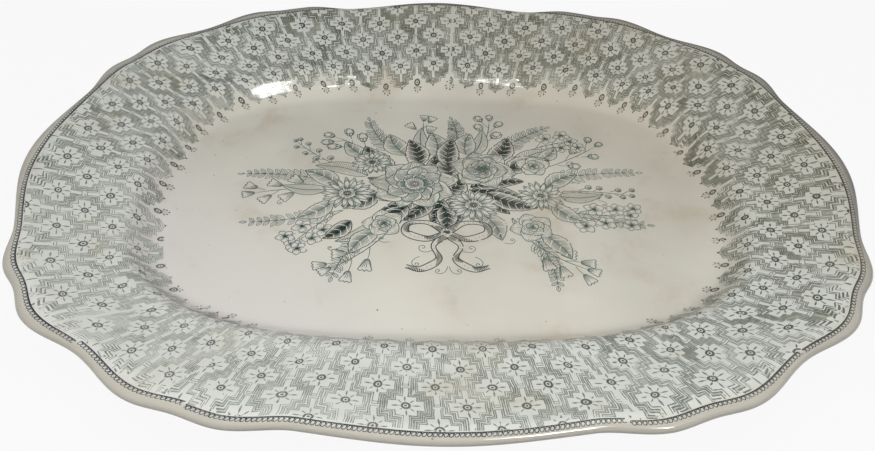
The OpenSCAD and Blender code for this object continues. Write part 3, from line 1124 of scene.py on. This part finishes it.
class Drawing(Sheet):
    """Pen strokes on paper, in millimetres from the middle. What lies in front is drawn first and
    covers the paper, so that what lies behind it is cut away there. An angle is a direction on the
    paper, and a stroke's width is a share of the pen's."""

    PEN = 1.35
    CELL = 0.25
    HALF = np.array([150, 105])
    # Spacing and width of a leaf's veins, for a pale, a half-shaded and a shaded one
    VEIN_STEPS = (1.5, 0.85, 0.62)
    VEIN_WIDTHS = (0.26, 0.4, 0.52)
    # Petals of a bud, for its own length 1: turn, length, width, shading lines and fullness
    BUD = ((-0.35, 0.45, 0.22, 2, 0.62), (0.35, 0.45, 0.22, 2, 0.62), (0, 1, 0.5, 4, 0.45),
           (-0.28, 0.92, 0.42, 3, 0.5), (0.28, 0.92, 0.42, 3, 0.5))
    # The flared mouth of a bell, for its own length 1
    MOUTH = np.array([(1.12, 0.3), (0.98, 0.12), (1.16, 0), (0.98, -0.12), (1.12, -0.3)])

    def __init__(self):
        super().__init__()
        self.covered = np.zeros((2 * self.HALF / self.CELL).astype(int), bool)
        self.dice = random.Random(23)

    def cells(self, points):
        """Columns and rows of the paper's cells at the points"""
        out = ((np.asarray(points) + self.HALF) / self.CELL).astype(int)
        return np.clip(out, 0, np.array(self.covered.shape) - 1)

    def cover(self, outline):
        """Covers the paper inside a closed outline"""
        outline = np.asarray(outline, float)
        low, high = self.cells(outline.min(axis=0)), self.cells(outline.max(axis=0))
        if (high <= low).any():
            return
        grid = np.meshgrid(np.arange(low[0], high[0]), np.arange(low[1], high[1]), indexing="ij")
        x, y = [(cell + 0.5) * self.CELL - half for cell, half in zip(grid, self.HALF)]
        inside = np.zeros(x.shape, bool)
        for (x1, y1), (x2, y2) in zip(outline, np.roll(outline, -1, axis=0)):
            if y1 != y2:
                cross = x1 + (y - y1) / (y2 - y1) * (x2 - x1)
                inside ^= ((y1 > y) != (y2 > y)) & (x < cross)
        self.covered[low[0]:high[0], low[1]:high[1]] |= inside

    def stroke(self, line, width, ends=(1, 1), taper=1.0):
        """A stroke that swells and thins, left out where the paper is covered"""
        line = resample(line, 0.8)
        t = np.linspace(0, 1, len(line))
        thick = self.PEN * width * np.minimum(1, np.minimum(ends[0] + 4 * t, ends[1] + 4 * (1 - t)))
        thick *= mix(1, taper, t)
        i, j = self.cells(line).T
        seen = ~self.covered[i, j]
        for run in np.split(np.arange(len(line)), np.flatnonzero(seen[1:] != seen[:-1]) + 1):
            if seen[run[0]] and len(run) > 1:
                self.ribbon(line[run] * MM, thick[run] * MM)

    def dot(self, x, y, r):
        """A dot, left out where the paper is covered"""
        i, j = self.cells((x, y))
        if not self.covered[i, j]:
            self.disc(x * MM, y * MM, r * MM, r * MM, 7)

    def loop(self, x, y, r, squash, width):
        """A closed oval stroke"""
        b = np.linspace(0, TAU, 13)
        self.stroke(pairs(x + r * np.cos(b), y + squash * r * np.sin(b)), width)

    def cover_round(self, x, y, r, squash, steps):
        """Covers the paper inside an oval"""
        b = np.linspace(0, TAU, steps, endpoint=False)
        self.cover(pairs(x + r * np.cos(b), y + squash * r * np.sin(b)))

    def set_at(self, x, y, angle, along, across):
        """Points given along and across an axis, set at that place and angle"""
        c, s = math.cos(angle), math.sin(angle)
        return pairs(x + along * c - across * s, y + along * s + across * c)

    def blade(self, x, y, angle, along, left, right):
        """The outline of a leaf or petal: out along its left side and back along its right"""
        return self.set_at(x, y, angle, np.append(along, along[-2::-1]), np.append(left, right[-2::-1]))

    def vein(self, x, y, angle, along, across, *pen):
        """A stroke given along and across an axis"""
        self.stroke(self.set_at(x, y, angle, along, across), *pen)

    def petal(self, x, y, angle, size, wide, lines=5, full=0.62, ruffle=0.0, line=0.42, deep=0.55):
        """A petal with fine shading drawn out of its base and in from its tip"""
        u = np.linspace(0, 1, 17)
        half = wide / 2 * np.sin(np.pi * u ** (1 / (2 * full))) ** 0.75
        half[0] = half[-1] = 0
        phase = self.dice.uniform(0, TAU)
        sway = self.dice.uniform(-0.06, 0.06) * size * np.sin(np.pi * u)
        wave = 1 + ruffle * np.sin(9 * u + phase)
        tip = 1 + 0.5 * ruffle * np.sin(7 * u + phase)
        outline = self.blade(x, y, angle, u * size * tip, half * wave + sway, -half * wave[::-1] + sway)
        self.stroke(outline, line)
        for k in range(lines):
            f = mix(-0.8, 0.8, (k + 0.5) / lines)
            some = u * (self.dice.uniform(0.7, 1) * deep) + 0.04
            across = np.interp(some, u, half) * f + np.interp(some, u, sway)
            self.vein(x, y, angle, some * size, across, 0.42, (1, 0), 0.4)
            if k % 2:
                some = np.linspace(0.94, 0.94 - self.dice.uniform(0.1, 0.3), 5)
                across = np.interp(some, u, half) * f * 1.1 + np.interp(some, u, sway)
                self.vein(x, y, angle, some * size, across, 0.24, (0.7, 0))
        self.cover(outline)

    def flower(self, x, y, rings, squash=0.9, turn=0.0, **look):
        """Petals in rings from the heart out: number, length, width and start of each ring"""
        for number, size, wide, start in rings:
            for k in range(number):
                b = turn + (k + self.dice.uniform(-0.12, 0.12)) * TAU / number
                x0, y0 = x + start * math.cos(b), y + squash * start * math.sin(b)
                long = size * math.hypot(math.cos(b), squash * math.sin(b)) * self.dice.uniform(0.93, 1.07)
                self.petal(x0, y0, b, long, wide, **look)
            turn += TAU / number / 2

    def heart(self, x, y, r, beads, squash=0.9):
        """The stamens of a flower: a ring of dots round a dark button"""
        self.tone = FULL
        for k in range(3):
            self.loop(x, y, r * (0.2 + 0.16 * k), squash, 0.4)
        near = 0.55 * r
        for k in range(beads):
            b = k * TAU / beads
            far = r * self.dice.uniform(0.72, 0.98)
            tip = (x + far * math.cos(b), y + squash * far * math.sin(b))
            self.dot(*tip, self.dice.uniform(0.3, 0.5))
            self.stroke([(x + near * math.cos(b), y + squash * near * math.sin(b)), tip], 0.26)
        self.cover_round(x, y, r, squash, 20)
        self.tone = FINE

    def leaf(self, x, y, angle, size, wide, bow=0.0, teeth=0, depth=2):
        """A leaf with a midrib, and side veins alone or closer and closer hatching between them"""
        u = np.linspace(0, 1, 25)
        half = wide / 2 * np.sin(np.pi * u ** 0.8) ** 0.85
        bend = bow * size * np.sin(np.pi * u * 0.9)
        jag = 1 + 0.16 * ((u * teeth) % 1)
        outline = self.blade(x, y, angle, u * size, half * jag + bend, -half * jag + bend)
        self.tone = FULL if depth == 2 else FINE
        self.stroke(outline, 0.45)
        self.vein(x, y, angle, u * size, bend, 0.5, (1, 0.2))
        step = self.VEIN_STEPS[depth]
        reach = np.linspace(0.04, 0.93, 6)
        for side in (-1, 1):
            shade = self.VEIN_WIDTHS[depth] * (0.8 if depth and side > 0 else 1)
            for k in range(int(size / step)):
                t = (k + 0.5) * step / size
                along = t + reach * 0.45 * np.interp(t, u, half) / size * 1.6
                if along[-1] > 0.98 or (depth and k % 8 == 7):
                    continue
                across = side * reach * np.interp(along, u, half) + np.interp(along, u, bend)
                self.vein(x, y, angle, along * size, across, shade, (1, 0.15), 0.35 if depth else 1)
        self.cover(outline)
        self.tone = FINE

    def stem(self, x, y, angle, size, turn, width=0.5, ends=(1, 0.3)):
        """A stem that bends evenly by that turn; its points and directions"""
        n = max(6, int(size / 1.5))
        way = angle + turn * np.linspace(0, 1, n)
        steps = pairs(np.cos(way), np.sin(way)) * size / n
        line = np.vstack([[x, y], [x, y] + np.cumsum(steps, axis=0)])
        self.stroke(line, width, ends)
        return line, np.append(angle, way)

    def fern(self, x, y, angle, size, turn, leaf_l=11, number=11, wide=3.6):
        """A spray with pairs of small leaves that shrink to its tip"""
        line, way = self.stem(x, y, angle, size, turn, 0.42)
        for k in range(number):
            t = (k + 1.4) / (number + 1.2)
            i = int(t * (len(line) - 1))
            long = leaf_l * (1 - 0.62 * t) * self.dice.uniform(0.9, 1.1)
            for side in (-1, 1):
                b = way[i] + side * self.dice.uniform(0.75, 0.95)
                self.small_leaf(*line[i], b, long, wide * (1 - 0.4 * t))
        self.small_leaf(*line[-1], way[-1], 0.4 * leaf_l, 0.6 * wide)

    def small_leaf(self, x, y, angle, size, wide):
        """A plain leaf with a midrib"""
        u = np.linspace(0, 1, 9)
        half = wide / 2 * np.sin(np.pi * u) ** 0.8
        self.stroke(self.blade(x, y, angle, u * size, half, -half), 0.3)
        self.vein(x, y, angle, np.array([0.1, 0.85]) * size, 0, 0.3, (1, 0))

    def sprig(self, x, y, angle, size, turn, kind, number, head):
        """A stem that carries buds, bells, berries or small flowers on short stalks"""
        line, way = self.stem(x, y, angle, size, turn, 0.45)
        for k in range(number):
            t = mix(0.35, 1, k / max(1, number - 1))
            i = int(t * (len(line) - 1))
            side = (-1, 1)[k % 2] if k < number - 1 else 0
            b = way[i] + side * self.dice.uniform(0.6, 0.9)
            stalk = head * self.dice.uniform(0.6, 1.1) if side else 0.6
            short, _ = self.stem(*line[i], b, stalk, -0.3 * side, 0.32, (1, 1))
            kind(*short[-1], b - 0.2 * side, head * mix(1, 0.7, t))

    def bud(self, x, y, angle, size):
        """A pointed bud in its cup"""
        for turn, long, wide, lines, full in self.BUD:
            self.petal(x, y, angle + turn, long * size, wide * size, lines, full)

    def bell(self, x, y, angle, size):
        """A bell flower with a flared mouth"""
        u = np.linspace(0, 1, 9)
        half = size * (0.12 + 0.26 * np.sin(0.5 * np.pi * u) ** 0.8 + 0.1 * u ** 4)
        mouth = self.MOUTH * size
        along = np.concatenate([u * size, mouth[:, 0], (u * size)[::-1]])
        outline = self.set_at(x, y, angle, along, np.concatenate([half, mouth[:, 1], -half[::-1]]))
        self.stroke(np.vstack([outline, outline[:1]]), 0.4)
        for f in (-0.75, -0.5, -0.2, 0.15, 0.5, 0.8):
            self.vein(x, y, angle, u * size * self.dice.uniform(0.5, 0.95), f * half, 0.28, (1, 0.1))
        self.cover(outline)

    def berry(self, x, y, angle, size):
        """A round berry with a lighter spot, the same whichever way it hangs"""
        r = 0.3 * size
        self.loop(x, y, r, 1, 0.4)
        self.loop(x + 0.2 * r, y - 0.2 * r, 0.55 * r, 1, 0.35)
        self.dot(x + 0.25 * r, y - 0.3 * r, 0.3 * r)
        self.cover_round(x, y, r, 1, 12)

    def blossom(self, x, y, angle, size):
        """A small flower of five round petals"""
        self.tone = FULL
        self.dot(x, y, 0.09 * size)
        self.tone = FINE
        ring = (5, 0.5 * size, 0.42 * size, 0.05 * size)
        self.flower(x, y, [ring], 0.85, angle, lines=3, full=0.66, line=0.36)

    def curl(self, x, y, angle, size, side):
        """A tendril that winds in on itself, with a dot at its end"""
        t = np.linspace(0, 1, 30)
        way = angle + side * 1.2 * TAU * t ** 1.6
        steps = pairs(np.cos(way), np.sin(way)) * (size / 30 * (1 - 0.72 * t))[:, None]
        line = np.vstack([[x, y], [x, y] + np.cumsum(steps, axis=0)])
        self.stroke(line, 0.32, (1, 0.6))
        self.dot(*line[-1], 0.5)

    def bow(self, middle, wide):
        """A ribbon along a line: two edges, and hatching across it that comes and goes in its folds"""
        middle = resample(through(middle), 0.9)
        across = unit(np.gradient(middle, axis=0))[:, ::-1] * [-1, 1]
        t = np.linspace(0, 1, len(middle))
        half = wide / 2 * (0.75 + 0.25 * np.cos(TAU * 1.5 * t))
        left, right = [middle + side * across * half[:, None] for side in (1, -1)]
        self.tone = FULL
        self.stroke(left, 0.5)
        self.stroke(right, 0.5)
        for i in range(1, len(middle) - 1):
            fold = 0.5 + 0.5 * math.sin(TAU * 2.4 * t[i] + 0.7)
            if fold > 0.25:
                self.stroke([left[i], mix(left[i], right[i], fold)], 0.42, (1, 0.2))
            elif i % 3 == 0:
                self.dot(*mix(left[i], right[i], 0.5), 0.3)
        self.cover(np.vstack([left, right[::-1]]))
        self.tone = FINE


class PLATTER_OT_bouquet(bpy.types.Operator):
    """Draws the bouquet on the floor of the well: a peony, a rose, asters and sprays, tied with a bow"""

    bl_idname = "platter.bouquet"
    bl_label = "Bouquet"

    def drawn(self):
        """The bouquet, drawn from the front back. Each row gives a root, a direction and a length, and
        then a leaf's width and bow, a spray's bend and what it carries, or a tendril's side."""
        art = Drawing()
        # The bow under the bouquet
        art.heart(4, -31, 3.4, 7, 0.8)
        for side in (-1, 1):
            x = 4
            loop = [(x, -31), (x + side * 11, -23), (x + side * 23, -24), (x + side * 24, -32),
                    (x + side * 12, -37), (x + side * 2, -32)]
            art.bow(loop, 5.5)
            tail = [(x + side, -34), (x + side * 8, -43), (x + side * 5, -54), (x + side * 15, -62),
                    (x + side * 24, -60)]
            art.bow(tail, 5)
        # The large flowers, front ones first
        art.heart(-16, 14, 5.6, 24)
        art.flower(-16, 14, [(6, 9, 9, 3), (8, 16, 14, 4), (9, 23, 18, 5)],
                   lines=15, ruffle=0.13, deep=0.9, line=0.5)
        art.flower(28, 30, [(3, 6, 7, 0), (4, 10, 12, 1), (5, 14.5, 16, 2), (6, 19.5, 20, 2)], 0.92, 0.5,
                   lines=16, full=0.7, deep=0.9, line=0.48)
        for x, y, r in ((21, -6, 15), (-58, 4, 15.5), (64, 4, 14), (-44, 36, 12)):
            art.heart(x, y, 0.3 * r, 16)
            art.flower(x, y, [(15, 0.72 * r, 3.3, 0.26 * r), (17, 0.9 * r, 3.7, 0.2 * r)], lines=3, full=0.6)
        for x, y, r in ((56, -26, 13), (-34, -24, 12.5), (62, 34, 11)):
            rings = [(3, 0.34 * r, 0.4 * r, 0), (4, 0.56 * r, 0.66 * r, 0.1 * r), (5, 0.95 * r, r, 0.1 * r)]
            art.flower(x, y, rings, 0.92, 0.2 * r, lines=7, full=0.7, deep=0.8)
        # Dark leaves round the heart of the bouquet
        for x, y, turn, size, wide, bow in (
            (-30, 28, 2.2, 32, 16, 0.1), (-14, 32, 1.8, 30, 15, -0.1), (6, 32, 1.45, 32, 14, 0.06),
            (34, 38, 1.15, 30, 15, -0.1), (42, 28, 0.35, 34, 15, 0.1), (-38, 4, 3.6, 26, 14, 0.1),
            (-20, -8, 4.2, 30, 14, -0.12), (-54, -22, 3.9, 22, 11, 0.1), (30, 6, 5.9, 34, 14, -0.1),
            (2, -8, 4.75, 22, 12, 0.1), (8, 22, 1.7, 20, 16, 0.1), (4, 6, 0.9, 18, 15, -0.1),
        ):
            art.leaf(x, y, turn, size, wide, bow, teeth=9)
        # Paler ones round the outer flowers
        for x, y, turn, size, wide, bow in (
            (-64, 12, 2.6, 27, 13, -0.08), (68, 12, 0.55, 26, 13, 0.1), (-66, -4, 3.75, 26, 12, 0.1),
            (70, -4, 5.6, 25, 12, -0.1), (62, -32, 5.3, 25, 12, 0.1), (-38, -30, 4.1, 25, 12, -0.1),
            (-48, 42, 2.3, 22, 11, 0.1), (66, 40, 0.9, 20, 10, -0.1), (26, -14, 5.1, 26, 13, 0.12),
            (-22, 44, 2.0, 26, 15, 0.1), (-2, 44, 1.7, 26, 15, -0.1), (18, 46, 1.4, 24, 14, 0.1),
        ):
            art.leaf(x, y, turn, size, wide, bow, teeth=9, depth=1)
        # Leaves in the shade, in the gaps between the flowers
        for k in range(16):
            turn = (k + 0.4) * TAU / 16
            x, y = 4 + 16 * math.cos(turn), 10 + 10 * math.sin(turn)
            art.leaf(x, y, turn, 30 + 6 * math.cos(2 * turn), 13, 0.08)
        # Pale leaves between them
        for x, y, turn, size, wide, bow in (
            (-46, 22, 2.9, 36, 12, -0.1), (48, 32, 0.6, 34, 12, 0.12), (-8, 40, 1.65, 36, 11, 0.08),
            (20, 42, 1.3, 34, 11, -0.1), (-30, -16, 3.75, 40, 12, 0.12), (44, -18, 5.75, 38, 12, -0.12),
            (-70, 8, 3.0, 30, 10, 0.1), (74, 4, 0.1, 30, 10, -0.1),
        ):
            art.leaf(x, y, turn, size, wide, bow, depth=0)
        # Sprigs that carry small flowers, bells, buds and berries
        for x, y, turn, size, bend, kind, number, head in (
            (-40, 38, 2.2, 40, 0.5, art.bud, 5, 12), (-6, 50, 1.9, 34, -0.4, art.bell, 4, 9),
            (26, 46, 1.15, 40, 0.35, art.bud, 5, 11), (48, 42, 0.7, 46, -0.5, art.blossom, 6, 15),
            (-62, 8, 3.05, 54, 0.35, art.bell, 6, 10), (66, 8, 0.1, 56, -0.3, art.berry, 9, 8),
            (-50, -6, 3.7, 52, 0.45, art.blossom, 7, 15), (-28, -26, 4.2, 50, -0.5, art.bell, 6, 10),
            (48, -30, 5.3, 48, 0.55, art.bell, 6, 10), (60, -6, 5.95, 58, 0.4, art.blossom, 7, 15),
            (-56, 26, 2.65, 52, -0.35, art.berry, 8, 8), (60, 28, 0.4, 54, 0.3, art.bud, 5, 10),
        ):
            art.sprig(x, y, turn, size, bend, kind, number, head)
        # Ferny sprays to the sides
        for x, y, turn, size, bend in (
            (-70, 16, 2.85, 56, 0.35), (72, 20, 0.3, 58, -0.3), (-60, -12, 3.5, 58, -0.3),
            (68, -10, 5.95, 60, 0.25), (-30, 48, 2.3, 40, -0.5), (12, 54, 1.45, 32, 0.4),
            (42, 50, 0.9, 42, -0.4), (-42, -30, 4.0, 44, 0.5), (56, -34, 5.2, 42, -0.5),
        ):
            art.fern(x, y, turn, size, bend)
        # Tendrils
        for x, y, turn, size, side in (
            (-2, -44, 4.0, 34, -1), (10, -44, 5.4, 34, 1), (-12, -52, 3.6, 26, 1), (20, -52, 5.8, 26, -1),
            (4, -60, 4.5, 26, -1), (5, -60, 4.9, 26, 1), (-30, -40, 3.4, 22, -1), (38, -40, 6.0, 22, 1),
            (-78, 34, 2.0, 18, 1), (84, 36, 1.2, 18, -1), (-96, -2, 3.3, 20, 1), (100, 0, 6.2, 20, -1),
            (-4, 74, 2.2, 14, 1), (6, 74, 1.0, 14, -1), (-60, -46, 3.8, 18, -1), (72, -48, 5.6, 18, 1),
        ):
            art.curl(x, y, turn, size, side)
        return art

    def execute(self, context):
        skin = Skin(context.scene.platter_sizes)
        prints = context.scene.platter_print
        sheet = self.drawn()
        flat = np.vstack(sheet.points)
        z = skin.floor_z + skin.warp(flat[:, 0], flat[:, 1]) + prints.lift
        points = np.column_stack([flat, z])
        keep = np.random.RandomState(5).uniform(0, 1, len(points)) > 0.004
        make_print("bouquet_print", "centre_print", "bouquet", sheet, points, keep)
        return {"FINISHED"}


class PLATTER_OT_stage(bpy.types.Operator):
    """Sets the plain pale floor, the soft lights and the camera at the photo's angle"""

    bl_idname = "platter.stage"
    bl_label = "Stage"

    # The camera as fitted to the photo: focal length in pixels, angles in degrees, and the point
    # that it looks at and its distance in metres
    FOCAL_PX = 810
    ELEVATION = 42.27
    AZIMUTH = -1.7
    ROLL = 1.88
    AIM = (-2.6 * MM, -61.9 * MM)
    DISTANCE = 439.2 * MM
    # Where two windows shine on the wall: the photo's pixel, the window's width and height in metres
    # and its power, and how far off the windows are
    SHINES = (((271, 84), 0.3, 0.26, 4.6), ((336, 86), 0.05, 0.012, 0.16))
    WINDOW_FAR = 1.6
    # How bright the white backdrop looks to the camera
    BACKDROP = 0.93

    def camera(self):
        """The camera that took the photo"""
        el, az = math.radians(self.ELEVATION), math.radians(self.AZIMUTH)
        back = Vector((math.sin(az) * math.cos(el), -math.cos(az) * math.cos(el), math.sin(el)))
        aim = Vector((self.AIM[0], self.AIM[1], HIGH[2]))
        turn = back.to_track_quat("Z", "Y").to_matrix()
        turn = turn @ Matrix.Rotation(math.radians(self.ROLL), 3, "Z")
        data = bpy.data.cameras.new("photo_camera")
        data.sensor_width = SENSOR_W
        data.lens = self.FOCAL_PX / PHOTO_W * SENSOR_W
        data.clip_start = 0.01
        camera = bpy.data.objects.new("photo_camera", data)
        camera.matrix_world = Matrix.Translation(aim + back * self.DISTANCE) @ turn.to_4x4()
        bpy.context.scene.collection.objects.link(camera)
        bpy.context.scene.camera = camera
        return camera

    def seen_at(self, camera, skin, pixel):
        """The point of the skin's far face that the camera sees at a pixel, and the way out of it"""
        a, v = np.meshgrid(np.linspace(0.3 * math.pi, 0.9 * math.pi, 400), np.linspace(0, skin.v_edge, 240))
        a, v = a.ravel(), v.ravel()
        points = skin.point(v, a)
        world = camera.matrix_world
        turned = (points - np.array(world.translation)) @ np.array(world.to_3x3())
        across = PHOTO_W / 2 + self.FOCAL_PX * turned[:, 0] / -turned[:, 2]
        down = PHOTO_H / 2 - self.FOCAL_PX * turned[:, 1] / -turned[:, 2]
        best = np.argmin((across - pixel[0]) ** 2 + (down - pixel[1]) ** 2)
        return Vector(points[best]), Vector(skin.normal(v[best:best + 1], a[best:best + 1])[0])

    def lamp(self, name, at, aim, size, size_y, watts, tint="#ffffff", unseen=()):
        """A window or ceiling of even light, unseen by the kinds of ray that are named"""
        data = bpy.data.lights.new(name, "AREA")
        data.shape = "RECTANGLE"
        data.size = size
        data.size_y = size_y
        data.energy = watts
        data.color = linear(tint)[:3]
        light = bpy.data.objects.new(name, data)
        turn = (Vector(at) - Vector(aim)).to_track_quat("Z", "Y").to_matrix().to_4x4()
        light.matrix_world = Matrix.Translation(Vector(at)) @ turn
        for ray in unseen:
            setattr(light, f"visible_{ray}", False)
        bpy.context.scene.collection.objects.link(light)

    def execute(self, context):
        camera = self.camera()
        half, low = 30.0, -0.2 * MM
        corners = [(-half, -half, low), (half, -half, low), (half, half, low), (-half, half, low)]
        material, tree = new_material("plain_pale_floor")
        matt = node(tree, "ShaderNodeBsdfPrincipled", {
            "Base Color": context.scene.platter_colours.floor, "Roughness": 0.9,
        })
        glow = node(tree, "ShaderNodeEmission", {"Color": linear("#ffffff"), "Strength": 1})
        rays = tree.nodes.new("ShaderNodeLightPath").outputs
        seen = rays["Is Camera Ray"]
        for ray in ("Is Glossy Ray", "Is Transmission Ray"):
            seen = node(tree, "ShaderNodeMath", [seen, rays[ray]], operation="MAXIMUM")
        share = node(tree, "ShaderNodeMath", [seen, self.BACKDROP], operation="MULTIPLY")
        node(tree, "ShaderNodeOutputMaterial", [node(tree, "ShaderNodeMixShader", [share, matt, glow])])
        floor = make_piece("floor", corners, [(0, 1, 2, 3)], [material], smooth=False)

        self.lamp("key_window", (-0.025, -0.285, 0.49), (-0.02, -0.07, 0.03), 0.62, 0.34, 2.95, "#fffdf8",
                  ["glossy"])
        self.lamp("soft_ceiling", (0.1, -0.1, 1.6), (0, 0, 0), 1.6, 1.6, 1.3, "#fbfaf6")
        skin = Skin(context.scene.platter_sizes)
        for pixel, size, size_y, watts in self.SHINES:
            spot, out = self.seen_at(camera, skin, pixel)
            away = (spot - camera.matrix_world.translation).normalized().reflect(out)
            at = spot + away * self.WINDOW_FAR
            self.lamp("shine_window", at, spot, size, size_y, watts, unseen=["diffuse"])
        self.lamp("edge_glint_window", (0.62, -0.91, 0.9), (0.12, -0.16, 0.04), 0.24, 0.3, 6.5,
                  unseen=["diffuse", "camera"])

        world = bpy.data.worlds.new("soft_room")
        context.scene.world = world
        world.use_nodes = True
        tree = world.node_tree
        tree.nodes.clear()
        soft = node(tree, "ShaderNodeBackground", {"Color": linear("#f8f6f1"), "Strength": 0.16})
        white = node(tree, "ShaderNodeBackground", {"Color": linear("#ffffff"), "Strength": self.BACKDROP})
        seen = node(tree, "ShaderNodeLightPath", output="Is Camera Ray")
        node(tree, "ShaderNodeOutputWorld", [node(tree, "ShaderNodeMixShader", [seen, soft, white])])
        context.scene.view_settings.view_transform = "Standard"
        return {"FINISHED"}


class PLATTER_PT_panel(bpy.types.Panel):
    """Lists the platter's sizes, colours and pieces"""

    bl_idname = "PLATTER_PT_panel"
    bl_label = "Oval platter"
    bl_space_type = "VIEW_3D"
    bl_region_type = "UI"
    bl_category = "Platter"

    def draw(self, context):
        for group in GROUPS:
            box = self.layout.box()
            owner = getattr(context.scene, group)
            for key in owner.__annotations__:
                box.prop(owner, key)
        for operator in OPERATORS:
            self.layout.operator(operator.bl_idname)


OPERATORS = (
    PLATTER_OT_stage, PLATTER_OT_ware, PLATTER_OT_foot,
    PLATTER_OT_border, PLATTER_OT_band, PLATTER_OT_bouquet,
)
GROUPS = {"platter_sizes": PlatterSizes, "platter_print": PrintSizes, "platter_colours": PlatterColours}
CLASSES = (*GROUPS.values(), *OPERATORS, PLATTER_PT_panel)


def register():
    for one in CLASSES:
        bpy.utils.register_class(one)
    for name, group in GROUPS.items():
        setattr(bpy.types.Scene, name, PointerProperty(type=group))


def unregister():
    for name in GROUPS:
        delattr(bpy.types.Scene, name)
    for one in reversed(CLASSES):
        bpy.utils.unregister_class(one)


def main():
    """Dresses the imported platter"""
    register()
    bpy.ops.platter.stage()
    bpy.ops.platter.ware()
    bpy.ops.platter.foot()
    bpy.ops.platter.border()
    bpy.ops.platter.band()
    bpy.ops.platter.bouquet()
    for node_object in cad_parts.values():
        node_object.data.materials.clear()
        node_object.data.materials.append(bpy.data.materials["glazed_cream_earthenware"])


if __name__ == "__main__":
    main()
